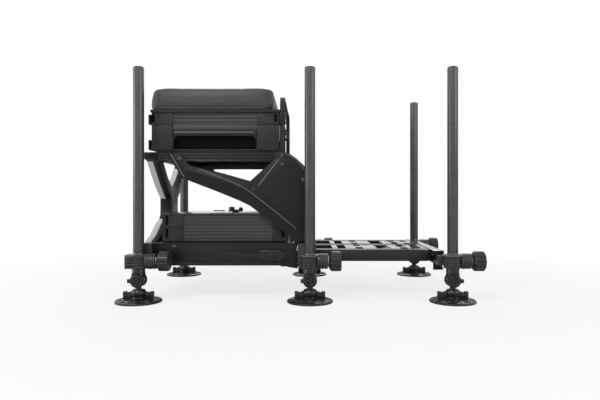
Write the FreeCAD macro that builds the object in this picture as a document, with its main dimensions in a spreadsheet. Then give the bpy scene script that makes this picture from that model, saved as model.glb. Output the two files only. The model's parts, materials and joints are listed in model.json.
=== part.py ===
import FreeCAD, Part
import math
import os
import Sketcher

# Angler's seat box: six sliding legs clamp to a chassis and to a footplate that draws out of it.
# Above the chassis, two side panels and a rear frame carry a drawer unit, a tray and a cushioned seat.
# Frame: +X towards the footplate, +Y to the sitter's left, +Z up, floor at zero, origin mid-length.

SIZES = {
    # legs
    "leg_diameter": 30, "leg_wall": 2, "leg_length": 567, "leg_spread": 540,
    "rear_bay": 480, "front_bay": 400, "leg_ring_depth": 0.5, "leg_ring_width": 3, "leg_ring_rise": 3,
    "leg_cap_height": 3.2, "leg_cap_land": 1, "leg_cap_chamfer": 3, "leg_cap_plug": 14,
    # feet
    "pad_diameter": 129, "pad_rim": 3, "pad_edge": 1, "pad_shoulder": 2.6, "pad_dome": 9.5,
    "cup_diameter": 41, "cup_height": 36, "cup_groove": 3, "cup_taper": 4.5, "cup_lip": 0.8,
    "ball_diameter": 24, "ball_height": 27, "stem_diameter": 16, "lug_reach": 43, "lug_height": 30,
    "lug_width": 13, "lug_depth": 11, "lug_web_width": 8, "lug_web_height": 17,
    "knuckle_height": 61, "knuckle_diameter": 36, "knuckle_width": 19, "ear_diameter": 40,
    "ear_thickness": 5.5, "ear_neck": 30, "sleeve_diameter": 36, "sleeve_length": 15, "sleeve_seat": 6.7,
    "sleeve_chamfer": 2, "lever_diameter": 31, "lever_thickness": 6, "lever_length": 31, "lever_width": 11,
    # leg clamps
    "clamp_bottom": 95, "clamp_height": 38, "clamp_diameter": 49, "clamp_rim": 3, "clamp_rim_height": 6,
    "collar_diameter": 42, "collar_reach": 50, "collar_root": 4, "knob_gap": 3, "knob_diameter": 56,
    "knob_reach": 87.5, "knob_round": 3.5, "knob_flute": 7, "knob_flute_offset": 1.75, "shank_diameter": 16,
    "shank_root": 2, "arm_reach": 17.6, "arm_root": 16.5, "heel_reach": 32, "heel_inset": 2,
    "bracket_tongue": 40,
    # chassis
    "chassis_lift": 1, "chassis_width": 450, "rail_width": 20, "rail_height": 65, "rail_wall": 2,
    "rail_rear_setback": 26.5, "rail_front_setback": 34.5, "rail_groove_depth": 0.6,
    "rail_groove_width": 2, "rail_groove_inset": 7, "ledge_reach": 15, "ledge_thickness": 4,
    "beam_width": 34, "keeper_length": 43, "keeper_thickness": 2.5, "keeper_inset": 2,
    # footplate
    "footplate_width": 398, "footplate_rail_height": 33, "footplate_rail_width": 20,
    "footplate_lift": 10, "footplate_overlap": 134, "footplate_cap_length": 70, "footplate_set_back": 41.5,
    "slide_bolt_setback": 124, "deck_thickness": 3, "deck_rib_height": 14, "deck_rib_width": 12,
    "deck_rear_margin": 40, "deck_front_margin": 4, "front_beam_width": 24, "front_beam_height": 28,
    "front_beam_setback": 12.5, "stub_diameter": 16, "gusset_depth": 20, "gusset_thickness": 4,
    "gusset_lead": 6, "gusset_offset": 2,
    # locks on the chassis rails
    "lock_length": 81, "lock_height": 32, "lock_thickness": 10, "lock_hub_diameter": 26,
    "lock_hub_height": 14, "lock_setback": 74.5, "lock_rise": 29, "lock_bolt": 10,
    # seat frame, side panels and rear frame
    "seat_rise": 239, "seat_rail_height": 25, "seat_rail_width": 22, "seat_rail_groove": 2,
    "seat_rail_groove_width": 2.6, "seat_rail_setback": 16, "seat_rail_lead": 12, "seat_bar_width": 30,
    "panel_length": 427, "panel_thickness": 7, "panel_ridge": 5, "panel_lead": 0.5,
    "rear_frame_thickness": 36, "rear_frame_width": 424, "rear_frame_waist": 86, "rear_frame_lap": 6,
    "rear_foot_inset": 5,
    # lower cassette
    "cassette_length": 366, "cassette_width": 430, "cassette_inset": 24, "cassette_base": 5,
    "cassette_base_inset": 4, "lower_tray_height": 40.5, "middle_tray_height": 36.5, "tray_wall": 3,
    "corner_skin": 3, "tray_corner_reach": 62, "front_corner_reach": 46.5, "corner_wrap": 45,
    "groove_depth": 1.6, "seam": 0.6, "lid_thickness": 3, "catch_length": 46, "catch_width": 24,
    "catch_height": 18, "catch_wing_width": 12, "catch_wing_height": 12.6, "catch_setback": 125,
    "catch_lead": 14, "lid_hinge_spread": 180, "lid_hinge_length": 40, "lid_hinge_barrel": 8,
    "lid_hinge_pin": 4, "lid_hinge_ear": 7,
    # seat unit
    "unit_length": 369, "unit_width": 440, "unit_setback": 5, "unit_base": 4, "unit_base_inset": 6,
    "casing_height": 74, "upper_tray_height": 36, "casing_wall": 3, "drawer_length": 244.8,
    "drawer_height": 57, "drawer_wall": 2.5, "drawer_depth": 196, "drawer_margin": 63.7,
    "drawer_recess": 1, "drawer_clearance": 1.2, "lip_height": 14, "lip_depth": 16, "lip_wall": 3,
    "lip_end": 8, "board_thickness": 8, "board_overhang": 3, "board_lead": 2,
    "cushion_height": 64, "cushion_crown": 5, "cushion_edge": 24, "cushion_rear_inset": 6,
    "cushion_front_inset": 9, "cushion_side_inset": 2, "hinge_spread": 280, "hinge_length": 50,
    "hinge_barrel": 10, "hinge_pin": 5, "hinge_leaf_rise": 3, "latch_width": 36, "latch_height": 34,
    "latch_thickness": 5, "latch_rise": 8, "latch_tail": 4, "latch_grip_depth": 4.5,
    "latch_grip_height": 5, "latch_grip_inset": 4, "latch_grip_drop": 2, "latch_pin": 4,
    "latch_lug_thickness": 4, "latch_lug_reach": 4.5, "clip_height": 28, "clip_rise": 2, "clip_depth": 9,
    "clip_inner_inset": 4, "clip_outer_inset": 14,
    # strap and small parts
    "strap_width": 24, "strap_thickness": 3, "strap_rise": 167, "strap_spread": 430, "strap_corner": 45,
    "buckle_height": 34, "buckle_thickness": 9, "buckle_lap": 2, "buckle_drop": 8, "screw_head": 11,
    "screw_head_height": 3.5,
    # clearances
    "slip": 0.3, "pin_clearance": 0.05,
}

FRONT, REAR = 1, -1
LEFT, RIGHT = 1, -1
UPRIGHT = FreeCAD.Rotation()
ALONG_X = FreeCAD.Rotation(FreeCAD.Vector(0, 1, 0), 90)
ALONG_Y = FreeCAD.Rotation(FreeCAD.Vector(1, 0, 0), -90)

doc = FreeCAD.newDocument("seat_box")
sheet = doc.addObject("Spreadsheet::Sheet", "Sizes")
for row, (alias, amount) in enumerate(SIZES.items(), start=1):
    sheet.set("A%d" % row, alias)
    sheet.set("B%d" % row, str(amount))
    sheet.setAlias("B%d" % row, alias)
doc.recompute()


# A length that keeps its amount and the formula over the sheet's cells that gives it
class Measure:
    def __init__(self, amount, formula):
        self.amount = amount
        self.formula = formula

    def __add__(self, other):
        other = measure(other)
        return Measure(self.amount + other.amount, "(%s + %s)" % (self.formula, other.formula))

    def __sub__(self, other):
        other = measure(other)
        return Measure(self.amount - other.amount, "(%s - %s)" % (self.formula, other.formula))

    def __mul__(self, other):
        other = measure(other)
        return Measure(self.amount * other.amount, "(%s * %s)" % (self.formula, other.formula))

    def __truediv__(self, other):
        other = measure(other)
        return Measure(self.amount / other.amount, "(%s / %s)" % (self.formula, other.formula))

    def __neg__(self):
        return Measure(-self.amount, "(0 - %s)" % self.formula)

    __radd__ = __add__
    __rmul__ = __mul__

    def __rsub__(self, other):
        return measure(other) - self


def measure(amount):
    if isinstance(amount, Measure):
        return amount
    return Measure(float(amount), "(%.6f)" % amount)


def size(alias):
    return Measure(float(sheet.get(alias)), "Sizes.%s" % alias)


def bind(item, field, amount):
    item.setExpression(field, measure(amount).formula)


def place(item, x, y, z, turn=UPRIGHT):
    item.Placement = FreeCAD.Placement(FreeCAD.Vector(), turn)
    bind(item, "Placement.Base.x", x)
    bind(item, "Placement.Base.y", y)
    bind(item, "Placement.Base.z", z)
    return item


def box(name, x, y, z):
    item = doc.addObject("Part::Box", name)
    bind(item, "Length", x[1] - x[0])
    bind(item, "Width", y[1] - y[0])
    bind(item, "Height", z[1] - z[0])
    return place(item, x[0], y[0], z[0])


# A round bar that starts at a point and runs along an axis
def rod(name, start, diameter, length, turn=UPRIGHT):
    item = doc.addObject("Part::Cylinder", name)
    bind(item, "Radius", diameter / 2)
    bind(item, "Height", length)
    return place(item, start[0], start[1], start[2], turn)


def ball(name, centre, diameter):
    item = doc.addObject("Part::Sphere", name)
    bind(item, "Radius", diameter / 2)
    return place(item, centre[0], centre[1], centre[2])


def fuse(name, pieces):
    item = doc.addObject("Part::MultiFuse", name)
    item.Shapes = pieces
    item.Refine = True
    return item


def group(name, pieces):
    item = doc.addObject("Part::Compound", name)
    item.Links = pieces
    return item


def cut(name, base, tools):
    item = doc.addObject("Part::Cut", name)
    item.Base = base
    item.Tool = tools[0] if len(tools) == 1 else fuse(name + "_tools", tools)
    item.Refine = True
    return item


def drawn(body, plane, loops, name):
    sketch = body.newObject("Sketcher::SketchObject", name)
    support = [item for item in body.Origin.OriginFeatures if item.Role == plane][0]
    sketch.AttachmentSupport = [(support, "")]
    sketch.MapMode = "FlatFace"
    for loop in loops:
        first = sketch.GeometryCount
        corners = [(measure(u), measure(v)) for u, v in loop]
        count = len(corners)
        for place_in_loop, (u, v) in enumerate(corners):
            next_u, next_v = corners[(place_in_loop + 1) % count]
            start = FreeCAD.Vector(u.amount, v.amount, 0)
            end = FreeCAD.Vector(next_u.amount, next_v.amount, 0)
            sketch.addGeometry(Part.LineSegment(start, end), False)
        for edge in range(count):
            following = first + (edge + 1) % count
            sketch.addConstraint(Sketcher.Constraint("Coincident", first + edge, 2, following, 1))
        for edge, (u, v) in enumerate(corners):
            across = sketch.addConstraint(Sketcher.Constraint("DistanceX", -1, 1, first + edge, 1, u.amount))
            upward = sketch.addConstraint(Sketcher.Constraint("DistanceY", -1, 1, first + edge, 1, v.amount))
            sketch.setExpression("Constraints[%d]" % across, u.formula)
            sketch.setExpression("Constraints[%d]" % upward, v.formula)
    return sketch


# A body turned from a half profile of (radius, height) corners
def turned(name, profile, at, turn=UPRIGHT):
    body = doc.addObject("PartDesign::Body", name)
    sketch = drawn(body, "XZ_Plane", [profile], name + "_profile")
    spin = body.newObject("PartDesign::Revolution", name + "_turn")
    spin.Profile = sketch
    spin.ReferenceAxis = (sketch, ["V_Axis"])
    spin.Angle = 360
    return place(body, at[0], at[1], at[2], turn)


# A body of constant section: the loops lie across the axis named by its plane
def padded(name, plane, loops, thickness, at):
    body = doc.addObject("PartDesign::Body", name)
    sketch = drawn(body, plane, loops, name + "_outline")
    pad = body.newObject("PartDesign::Pad", name + "_pad")
    pad.Profile = sketch
    bind(pad, "Length", thickness)
    return place(body, at[0], at[1], at[2])


def ruled_block(name, low_outline, high_outline):
    wires = []
    for outline in (low_outline, high_outline):
        corners = [FreeCAD.Vector(*corner) for corner in outline]
        wires.append(Part.makePolygon(corners + corners[:1]))
    item = doc.addObject("Part::Feature", name)
    item.Shape = Part.makeLoft(wires, True, True)
    return item


nodes = {}


def finish_node(label, item):
    item.Label = label
    nodes[label] = item


slip = size("slip")
half = 0.5
# Cutting tools run this far past the faces that they cut, and joined blocks this far into each other
past = 1

# Stations along the part
pad_radius = size("pad_diameter") * half
rear_leg_x = (pad_radius - size("knob_reach") - size("rear_bay") - size("front_bay")) * half
middle_leg_x = rear_leg_x + size("rear_bay")
front_leg_x = middle_leg_x + size("front_bay")
rail_rear = rear_leg_x + size("rail_rear_setback")
rail_front = middle_leg_x - size("rail_front_setback")
leg_y = size("leg_spread") * half

# Levels
sleeve_top = size("clamp_bottom") - slip
clamp_top = size("clamp_bottom") + size("clamp_height")
clamp_middle = size("clamp_bottom") + size("clamp_height") * half
chassis_bottom = size("clamp_bottom") + size("chassis_lift")
chassis_top = chassis_bottom + size("rail_height")
seat_rail_bottom = chassis_top + size("seat_rise")
seat_rail_top = seat_rail_bottom + size("seat_rail_height")
footplate_bottom = chassis_bottom + size("footplate_lift")
footplate_top = footplate_bottom + size("footplate_rail_height")
beam_bottom = footplate_top + size("ledge_thickness")

chassis_half = size("chassis_width") * half
rail_inner = chassis_half - size("rail_width")
footplate_half = size("footplate_width") * half


def span(low, high, side):
    return (low, high) if side == LEFT else (-high, -low)


# Legs: tube, end cap and foot socket
def leg(place_name, x, side):
    y = leg_y * side
    tube_radius = size("leg_diameter") * half
    bore_radius = tube_radius - size("leg_wall")
    tube_bottom = sleeve_top - size("sleeve_seat")
    tube_top = tube_bottom + size("leg_length")
    ring_radius = tube_radius - size("leg_ring_depth")
    ring_low = clamp_top + size("leg_ring_rise")
    ring_high = ring_low + size("leg_ring_width")
    tube = turned("tube_" + place_name, [
        (bore_radius, tube_bottom), (tube_radius, tube_bottom), (tube_radius, ring_low),
        (ring_radius, ring_low), (ring_radius, ring_high), (tube_radius, ring_high),
        (tube_radius, tube_top), (bore_radius, tube_top)], (x, y, 0))
    plug_radius = bore_radius - size("pin_clearance")
    cap_top = tube_top + size("leg_cap_height")
    plug_bottom = tube_top - size("leg_cap_plug")
    cap = turned("cap_" + place_name, [
        (0, plug_bottom), (plug_radius, plug_bottom), (plug_radius, tube_top), (tube_radius, tube_top),
        (tube_radius, tube_top + size("leg_cap_land")), (tube_radius - size("leg_cap_chamfer"), cap_top),
        (0, cap_top)], (x, y, 0))
    sleeve_radius = size("sleeve_diameter") * half
    sleeve_bottom = sleeve_top - size("sleeve_length")
    chamfer = size("sleeve_chamfer")
    grip_radius = tube_radius + size("pin_clearance")
    sleeve = turned("sleeve_" + place_name, [
        (0, sleeve_bottom), (sleeve_radius - chamfer, sleeve_bottom), (sleeve_radius, sleeve_bottom + chamfer),
        (sleeve_radius, sleeve_top), (grip_radius, sleeve_top), (grip_radius, tube_bottom),
        (0, tube_bottom)], (x, y, 0))
    parts = [sleeve]
    ear_gap = size("knuckle_width") * half + slip
    for ear_side in (LEFT, RIGHT):
        ear_name = "ear_%s_%s" % ("outer" if ear_side == side else "inner", place_name)
        low_y = y + (ear_gap if ear_side == LEFT else -ear_gap - size("ear_thickness"))
        disc = rod(ear_name, (x, low_y, size("knuckle_height")), size("ear_diameter"),
                   size("ear_thickness"), ALONG_Y)
        reach = size("ear_neck") * half
        neck = box(ear_name + "_neck", (x - reach, x + reach), (low_y, low_y + size("ear_thickness")),
                   (size("knuckle_height"), sleeve_bottom + chamfer))
        parts += [disc, neck]
    socket = fuse("socket_" + place_name, parts)
    finish_node("leg_tube_" + place_name, group("leg_" + place_name, [tube, cap, socket]))


# Foot: knuckle with its ball, and the pad that cups the ball
def foot(place_name, x, side, lever_turn):
    y = leg_y * side
    knuckle_z = size("knuckle_height")
    ball_z = size("ball_height")
    width = size("knuckle_width")
    knuckle = fuse("knuckle_" + place_name, [
        rod("knuckle_disc_" + place_name, (x, y - width * half, knuckle_z), size("knuckle_diameter"), width,
            ALONG_Y),
        rod("knuckle_stem_" + place_name, (x, y, ball_z), size("stem_diameter"), knuckle_z - ball_z),
        ball("knuckle_ball_" + place_name, (x, y, ball_z), size("ball_diameter"))])
    finish_node("foot_knuckle_" + place_name, knuckle)
    rim = size("pad_rim")
    dome = size("pad_dome")
    edge = size("pad_edge")
    cup_radius = size("cup_diameter") * half
    groove = size("cup_groove")
    plate = turned("plate_" + place_name, [
        (0, 0), (pad_radius - edge, 0), (pad_radius, edge), (pad_radius, rim),
        (pad_radius * 0.9, rim + size("pad_shoulder")), (pad_radius * 0.62, dome),
        (cup_radius + groove, dome + groove * half), (cup_radius - groove, dome + groove),
        (cup_radius, ball_z - groove), (cup_radius, ball_z + groove),
        (cup_radius - size("cup_taper"), size("cup_height")), (0, size("cup_height"))], (x, y, 0))
    pieces = [plate]
    reach = size("lug_reach")
    for number, (dx, dy) in enumerate(((1, 0), (0, 1), (-1, 0), (0, -1))):
        far = (x + reach * dx, y + reach * dy)
        near = (x + (reach - size("lug_depth")) * dx, y + (reach - size("lug_depth")) * dy)
        for name, start, width, top in (("lug", near, size("lug_width"), size("lug_height")),
                                        ("web", (x, y), size("lug_web_width"), size("lug_web_height"))):
            side_x = width * half * abs(dy)
            side_y = width * half * abs(dx)
            ends_x = (start[0], far[0]) if dx >= 0 else (far[0], start[0])
            ends_y = (start[1], far[1]) if dy >= 0 else (far[1], start[1])
            pieces.append(box("%s_%d_%s" % (name, number, place_name), (ends_x[0] - side_x, ends_x[1] + side_x),
                              (ends_y[0] - side_y, ends_y[1] + side_y), (rim, top)))
    socket = ball("pad_socket_" + place_name, (x, y, ball_z), size("ball_diameter") + slip * 2)
    mouth = rod("pad_mouth_" + place_name, (x, y, ball_z), size("ball_diameter") - size("cup_lip") * 2,
                size("cup_height"))
    finish_node("foot_pad_" + place_name, cut("pad_" + place_name, fuse("pad_shape_" + place_name, pieces),
                                              [socket, mouth]))
    face = size("knuckle_width") * half + slip * 2 + size("ear_thickness")
    thickness = size("lever_thickness")
    low_y = y + (face if side == LEFT else -face - thickness)
    lever_half = size("lever_width") * half
    reach = size("lever_length") - lever_half
    ends = (x, x + reach) if lever_turn == FRONT else (x - reach, x)
    lever = fuse("lever_" + place_name, [
        rod("lever_hub_" + place_name, (x, low_y, knuckle_z), size("lever_diameter"), thickness, ALONG_Y),
        box("lever_arm_" + place_name, ends, (low_y, low_y + thickness),
            (knuckle_z - lever_half, knuckle_z + lever_half)),
        rod("lever_tip_" + place_name, (ends[0] if lever_turn == REAR else ends[1], low_y, knuckle_z),
            size("lever_width"), thickness, ALONG_Y)])
    finish_node("foot_lever_" + place_name, lever)


FLUTE_COUNT = 12


# Clamp knob: fluted grip and threaded shank along X
def knob(place_name, x, side):
    y = leg_y * side
    z = clamp_middle
    start = x + size("collar_reach") + size("knob_gap")
    radius = size("knob_diameter") * half
    length = size("knob_reach") - size("collar_reach") - size("knob_gap")
    edge = size("knob_round")
    grip = turned("grip_" + place_name, [
        (0, 0), (radius - edge, 0), (radius, edge), (radius, length - edge), (radius - edge, length),
        (0, length)], (start, y, z), ALONG_X)
    flutes = []
    ring = radius + size("knob_flute_offset")
    for number in range(FLUTE_COUNT):
        angle = 2 * math.pi * number / FLUTE_COUNT
        flutes.append(rod("flute_%d_%s" % (number, place_name),
                          (start - past, y + ring * math.cos(angle), z + ring * math.sin(angle)),
                          size("knob_flute"), length + past * 2, ALONG_X))
    handle = cut("handle_" + place_name, grip, flutes)
    tip = x + size("leg_diameter") * half + slip * 2
    shank = rod("shank_" + place_name, (tip, y, z), size("shank_diameter"),
                start + size("shank_root") - tip, ALONG_X)
    finish_node("clamp_knob_" + place_name, fuse("knob_" + place_name, [handle, shank]))


# Clamp ring round a leg, with the threaded collar for its knob
def clamp_ring(place_name, x, side):
    y = leg_y * side
    bottom = size("clamp_bottom")
    ring = rod("ring_" + place_name, (x, y, bottom), size("clamp_diameter"), size("clamp_height"))
    rim_z = clamp_top - size("clamp_rim_height")
    rim = rod("rim_" + place_name, (x, y, rim_z), size("clamp_diameter") + size("clamp_rim") * 2,
              size("clamp_rim_height"))
    collar_start = size("clamp_diameter") * half - size("collar_root")
    collar = rod("collar_" + place_name, (x + collar_start, y, clamp_middle), size("collar_diameter"),
                 size("collar_reach") - collar_start, ALONG_X)
    bore = rod("bore_" + place_name, (x, y, bottom - past), size("leg_diameter") + slip * 2,
               size("clamp_height") + past * 2)
    shank_bore = rod("shank_bore_" + place_name, (x, y, clamp_middle), size("shank_diameter") + slip * 2,
                     size("collar_reach") + past, ALONG_X)
    return [ring, rim, collar], [bore, shank_bore]


def chassis_clamp(place_name, x, side, end):
    solids, bores = clamp_ring(place_name, x, side)
    face = rail_front if end == FRONT else rail_rear
    outer_face = x + size("arm_reach") * end
    top_y = chassis_half + size("panel_thickness") + size("panel_ridge")
    arm_x = (face, outer_face) if end == FRONT else (outer_face, face)
    solids.append(box("arm_" + place_name, arm_x, span(rail_inner, arm_end, side),
                      (chassis_bottom, clamp_top - size("clamp_rim_height"))))
    if end == REAR:
        cheek = size("clamp_diameter") * half - size("heel_inset")
        solids.append(box("heel_" + place_name, (x - size("heel_reach"), x),
                          span(leg_y - cheek, leg_y + cheek, side), (size("clamp_bottom"), clamp_top)))
    solids.append(box("riser_" + place_name, arm_x, span(rail_inner, top_y, side),
                      (chassis_bottom, chassis_top)))
    wall = size("rail_wall") + slip
    tongue = size("bracket_tongue")
    tongue_x = (face - tongue, face) if end == FRONT else (face, face + tongue)
    solids.append(box("tongue_" + place_name, tongue_x,
                      span(rail_inner + wall, chassis_half - wall, side),
                      (chassis_bottom + wall, chassis_top - wall)))
    return cut("clamp_" + place_name, fuse("clamp_shape_" + place_name, solids), bores)


def footplate_clamp(place_name, x, side):
    solids, bores = clamp_ring(place_name, x, side)
    solids.append(box("arm_" + place_name, (front_beam_rear, x), span(front_beam_half, arm_end, side),
                      (front_beam_bottom, front_beam_top)))
    return cut("clamp_" + place_name, fuse("clamp_shape_" + place_name, solids), bores)


# The clamps' arms end inside the ring, short of the leg's bore
arm_end = leg_y - size("arm_root")
front_beam_front = front_leg_x - size("front_beam_setback")
front_beam_rear = front_beam_front - size("front_beam_width")
front_beam_half = chassis_half
front_beam_bottom = clamp_middle - size("front_beam_height") * half
front_beam_top = clamp_middle + size("front_beam_height") * half

STATIONS = (("rear", rear_leg_x, REAR), ("middle", middle_leg_x, REAR), ("front", front_leg_x, FRONT))
SIDES = (("right", RIGHT), ("left", LEFT))
for station, x, lever_turn in STATIONS:
    for side_name, side in SIDES:
        place_name = "%s_%s" % (station, side_name)
        leg(place_name, x, side)
        foot(place_name, x, side, lever_turn)
        knob(place_name, x, side)
finish_node("chassis_leg_clamps", group("chassis_clamp_group", [
    chassis_clamp("%s_%s" % (station, side_name), x, side, end)
    for station, x, end in (("rear", rear_leg_x, REAR), ("middle", middle_leg_x, FRONT))
    for side_name, side in SIDES]))
finish_node("footplate_leg_clamps", group("footplate_clamp_group", [
    footplate_clamp("front_" + side_name, front_leg_x, side) for side_name, side in SIDES]))


# Chassis rails: hollow bars with inner ledges that guide the footplate
def chassis_rail(name, side):
    x = (rail_rear, rail_front)
    wall = size("rail_wall")
    bar = box(name + "_bar", x, span(rail_inner, chassis_half, side), (chassis_bottom, chassis_top))
    ledge_y = span(rail_inner - size("ledge_reach"), rail_inner, side)
    low_ledge = box(name + "_low_ledge", x, ledge_y,
                    (footplate_bottom - slip - size("ledge_thickness"), footplate_bottom - slip))
    high_ledge = box(name + "_high_ledge", x, ledge_y, (footplate_top + slip, beam_bottom))
    hollow = box(name + "_hollow", (rail_rear - past, rail_front + past),
                 span(rail_inner + wall, chassis_half - wall, side),
                 (chassis_bottom + wall, chassis_top - wall))
    grooves = []
    groove_half = size("rail_groove_width") * half
    inset = size("rail_groove_inset")
    for number, z in enumerate((chassis_bottom + inset, chassis_top - inset)):
        grooves.append(box("%s_groove_%d" % (name, number), (rail_rear - past, rail_front + past),
                           span(chassis_half - size("rail_groove_depth"), chassis_half + past, side),
                           (z - groove_half, z + groove_half)))
    bolt_hole = rod(name + "_bolt_hole", (lock_x, (chassis_half + past) * side, lock_z),
                    size("lock_bolt") + slip * 2, size("rail_width") + past * 2,
                    FreeCAD.Rotation(FreeCAD.Vector(1, 0, 0), 90 * side))
    return cut(name, fuse(name + "_shape", [bar, low_ledge, high_ledge]), [hollow, bolt_hole] + grooves)


lock_x = rail_front - size("lock_setback")
lock_z = chassis_bottom + size("lock_rise")
finish_node("chassis_rails", group("chassis_rail_group", [
    chassis_rail("chassis_rail_" + side_name, side) for side_name, side in SIDES]))


def tube_across(name, x, z, reach, wall):
    outer = box(name + "_outer", x, (-reach, reach), z)
    inner = box(name + "_inner", (x[0] + wall, x[1] - wall), (-reach - past, reach + past),
                (z[0] + wall, z[1] - wall))
    return cut(name, outer, [inner])


rear_frame_front = rail_rear + size("rear_frame_lap")
cassette_rear = rail_rear + size("cassette_inset")
cassette_front = cassette_rear + size("cassette_length")
beam_wall = size("rail_wall")
keepers = []
for side_name, side in SIDES:
    keepers.append(box("keeper_" + side_name, (rail_front - size("keeper_length"), rail_front),
                       span(rail_inner - size("ledge_reach"), chassis_half - size("keeper_inset"), side),
                       (chassis_bottom - size("keeper_thickness"), chassis_bottom)))
finish_node("chassis_beams", group("chassis_beam_group", [
    tube_across("rear_beam", (rear_frame_front, rear_frame_front + size("beam_width")),
                (beam_bottom, chassis_top), rail_inner, beam_wall),
    tube_across("front_beam", (cassette_front - size("beam_width"), cassette_front), (beam_bottom, chassis_top),
                rail_inner, beam_wall)] + keepers))

# Seat frame: two grooved side rails and two cross bars
unit_rear = rail_rear - size("unit_setback")
unit_front = unit_rear + size("unit_length")
seat_rail_rear = unit_rear + size("seat_rail_setback")
seat_rail_front = unit_front + size("seat_rail_lead")
seat_inner = chassis_half - size("seat_rail_width")


def seat_rail(name, side):
    x = (seat_rail_rear, seat_rail_front)
    bar = box(name + "_bar", x, span(seat_inner, chassis_half, side), (seat_rail_bottom, seat_rail_top))
    depth = size("seat_rail_groove")
    groove_half = size("seat_rail_groove_width") * half
    grooves = []
    for number, level in enumerate((0.2, 0.5, 0.8)):
        z = seat_rail_bottom + size("seat_rail_height") * level
        grooves.append(box("%s_groove_%d" % (name, number), (x[0] - past, x[1] + past),
                           span(chassis_half - depth, chassis_half + past, side),
                           (z - groove_half, z + groove_half)))
    return cut(name, bar, grooves)


seat_bar_width = size("seat_bar_width")
finish_node("seat_frame", group("seat_frame_group", [
    seat_rail("seat_rail_" + side_name, side) for side_name, side in SIDES] + [
    tube_across("seat_rear_bar", (rear_frame_front, rear_frame_front + seat_bar_width),
                (seat_rail_bottom, seat_rail_top), seat_inner, beam_wall),
    tube_across("seat_front_bar", (seat_rail_front - seat_bar_width, seat_rail_front),
                (seat_rail_bottom, seat_rail_top), seat_inner, beam_wall)]))

# Side panels: distances back from the front edge and up from the chassis, as drawn at this size
DRAWN_LENGTH = 427
DRAWN_HEIGHT = 264
PANEL_OUTLINE = (
    (427, 258), (392, 258), (362, 224), (264, 201), (187, 179), (120, 240), (113, 263), (90, 264),
    (73, 257), (53, 243), (32, 223), (10, 191), (0, 165), (0, 0), (59, 0), (61, 6), (82, 27), (120, 58),
    (156, 84), (188, 108), (217, 122), (275, 146), (333, 168), (382, 187))
RAISED_LOW = (
    (105, 256), (182, 169), (200, 146), (142, 97), (66, 23), (52, 2), (2, 2), (2, 165), (12, 189),
    (34, 220), (55, 240), (75, 254), (90, 260))
RAISED_HIGH = (
    (99, 242), (164, 161), (179, 148), (133, 109), (56, 37), (44, 6), (6, 6), (6, 163), (16, 187),
    (38, 216), (58, 235), (77, 248), (90, 252))
RIDGE_LOW = (
    (376, 232), (364, 220), (264, 196), (190, 172), (182, 150), (212, 130), (274, 152), (332, 174), (378, 192))
RIDGE_HIGH = (
    (372, 219), (364, 213), (263, 182), (186, 154), (180, 148), (184, 146), (264, 177), (340, 202), (366, 209))
panel_front = middle_leg_x + size("leg_diameter") * half + size("panel_lead")
panel_height = seat_rail_top - chassis_top


def panel_corner(back, up):
    x = panel_front - size("panel_length") * (back / DRAWN_LENGTH)
    z = chassis_top + panel_height * (up / DRAWN_HEIGHT)
    return x, z


def side_panel(name, side):
    loop = [panel_corner(back, up) for back, up in PANEL_OUTLINE]
    inner = chassis_half
    outer = chassis_half + size("panel_thickness")
    start = -inner if side == RIGHT else outer
    slab = padded(name + "_slab", "XZ_Plane", [loop], size("panel_thickness"), (0, start, 0))
    pieces = [slab]
    face = outer.amount * side
    crest = (outer + size("panel_ridge")).amount * side
    for part_name, low, high in (("raised", RAISED_LOW, RAISED_HIGH), ("ridge", RIDGE_LOW, RIDGE_HIGH)):
        outlines = []
        for outline, y in ((low, face), (high, crest)):
            corners = [panel_corner(back, up) for back, up in outline]
            outlines.append([(x.amount, y, z.amount) for x, z in corners])
        pieces.append(ruled_block("%s_%s" % (name, part_name), outlines[0], outlines[1]))
    return fuse(name, pieces)


for side_name, side in SIDES:
    finish_node("side_panel_" + side_name, side_panel("panel_" + side_name, side))

# Rear frame: waisted in the middle, open above and below it
rear_reach = size("rear_frame_width") * half
waist = size("rear_frame_waist") * half
foot_reach = rail_inner - size("rear_foot_inset")


# A height given as a share of the way from the chassis beams up to the seat rails' tops
def frame_level(share):
    return beam_bottom + (seat_rail_top - beam_bottom) * share


right_edge = [
    (foot_reach, frame_level(0)), (foot_reach, frame_level(0.07)), (foot_reach * 0.76, frame_level(0.13)),
    (foot_reach * 0.5, frame_level(0.235)), (foot_reach * 0.29, frame_level(0.29)),
    (waist * 1.05, frame_level(0.34)), (waist, frame_level(0.43)), (waist * 1.05, frame_level(0.53)),
    (rear_reach * 0.33, frame_level(0.585)), (rear_reach * 0.5, frame_level(0.67)),
    (rear_reach * 0.68, frame_level(0.79)), (rear_reach * 0.87, frame_level(0.91)),
    (rear_reach, frame_level(0.93)), (rear_reach, frame_level(1))]
upper_opening = [
    (rear_reach * 0.74, frame_level(1)), (rear_reach * 0.6, frame_level(0.9)),
    (rear_reach * 0.4, frame_level(0.77)), (rear_reach * 0.18, frame_level(0.67)),
    (rear_reach * 0.08, frame_level(0.64))]
lower_opening = [
    (foot_reach * 0.1, frame_level(0.25)), (foot_reach * 0.28, frame_level(0.22)),
    (foot_reach * 0.44, frame_level(0.13)), (foot_reach * 0.6, frame_level(0.04)),
    (foot_reach * 0.66, frame_level(0))]
outline = right_edge + upper_opening
outline += [(-y, z) for y, z in reversed(upper_opening)]
outline += [(-y, z) for y, z in reversed(right_edge)]
outline += [(-y, z) for y, z in reversed(lower_opening)]
outline += lower_opening
finish_node("rear_cross_frame", padded("rear_frame", "YZ_Plane", [outline], size("rear_frame_thickness"),
                                       (rear_frame_front - size("rear_frame_thickness"), 0, 0)))


# Share of a rib's pitch that its groove takes, above and below the groove's middle
GROOVE_SHARE = 0.16


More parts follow.
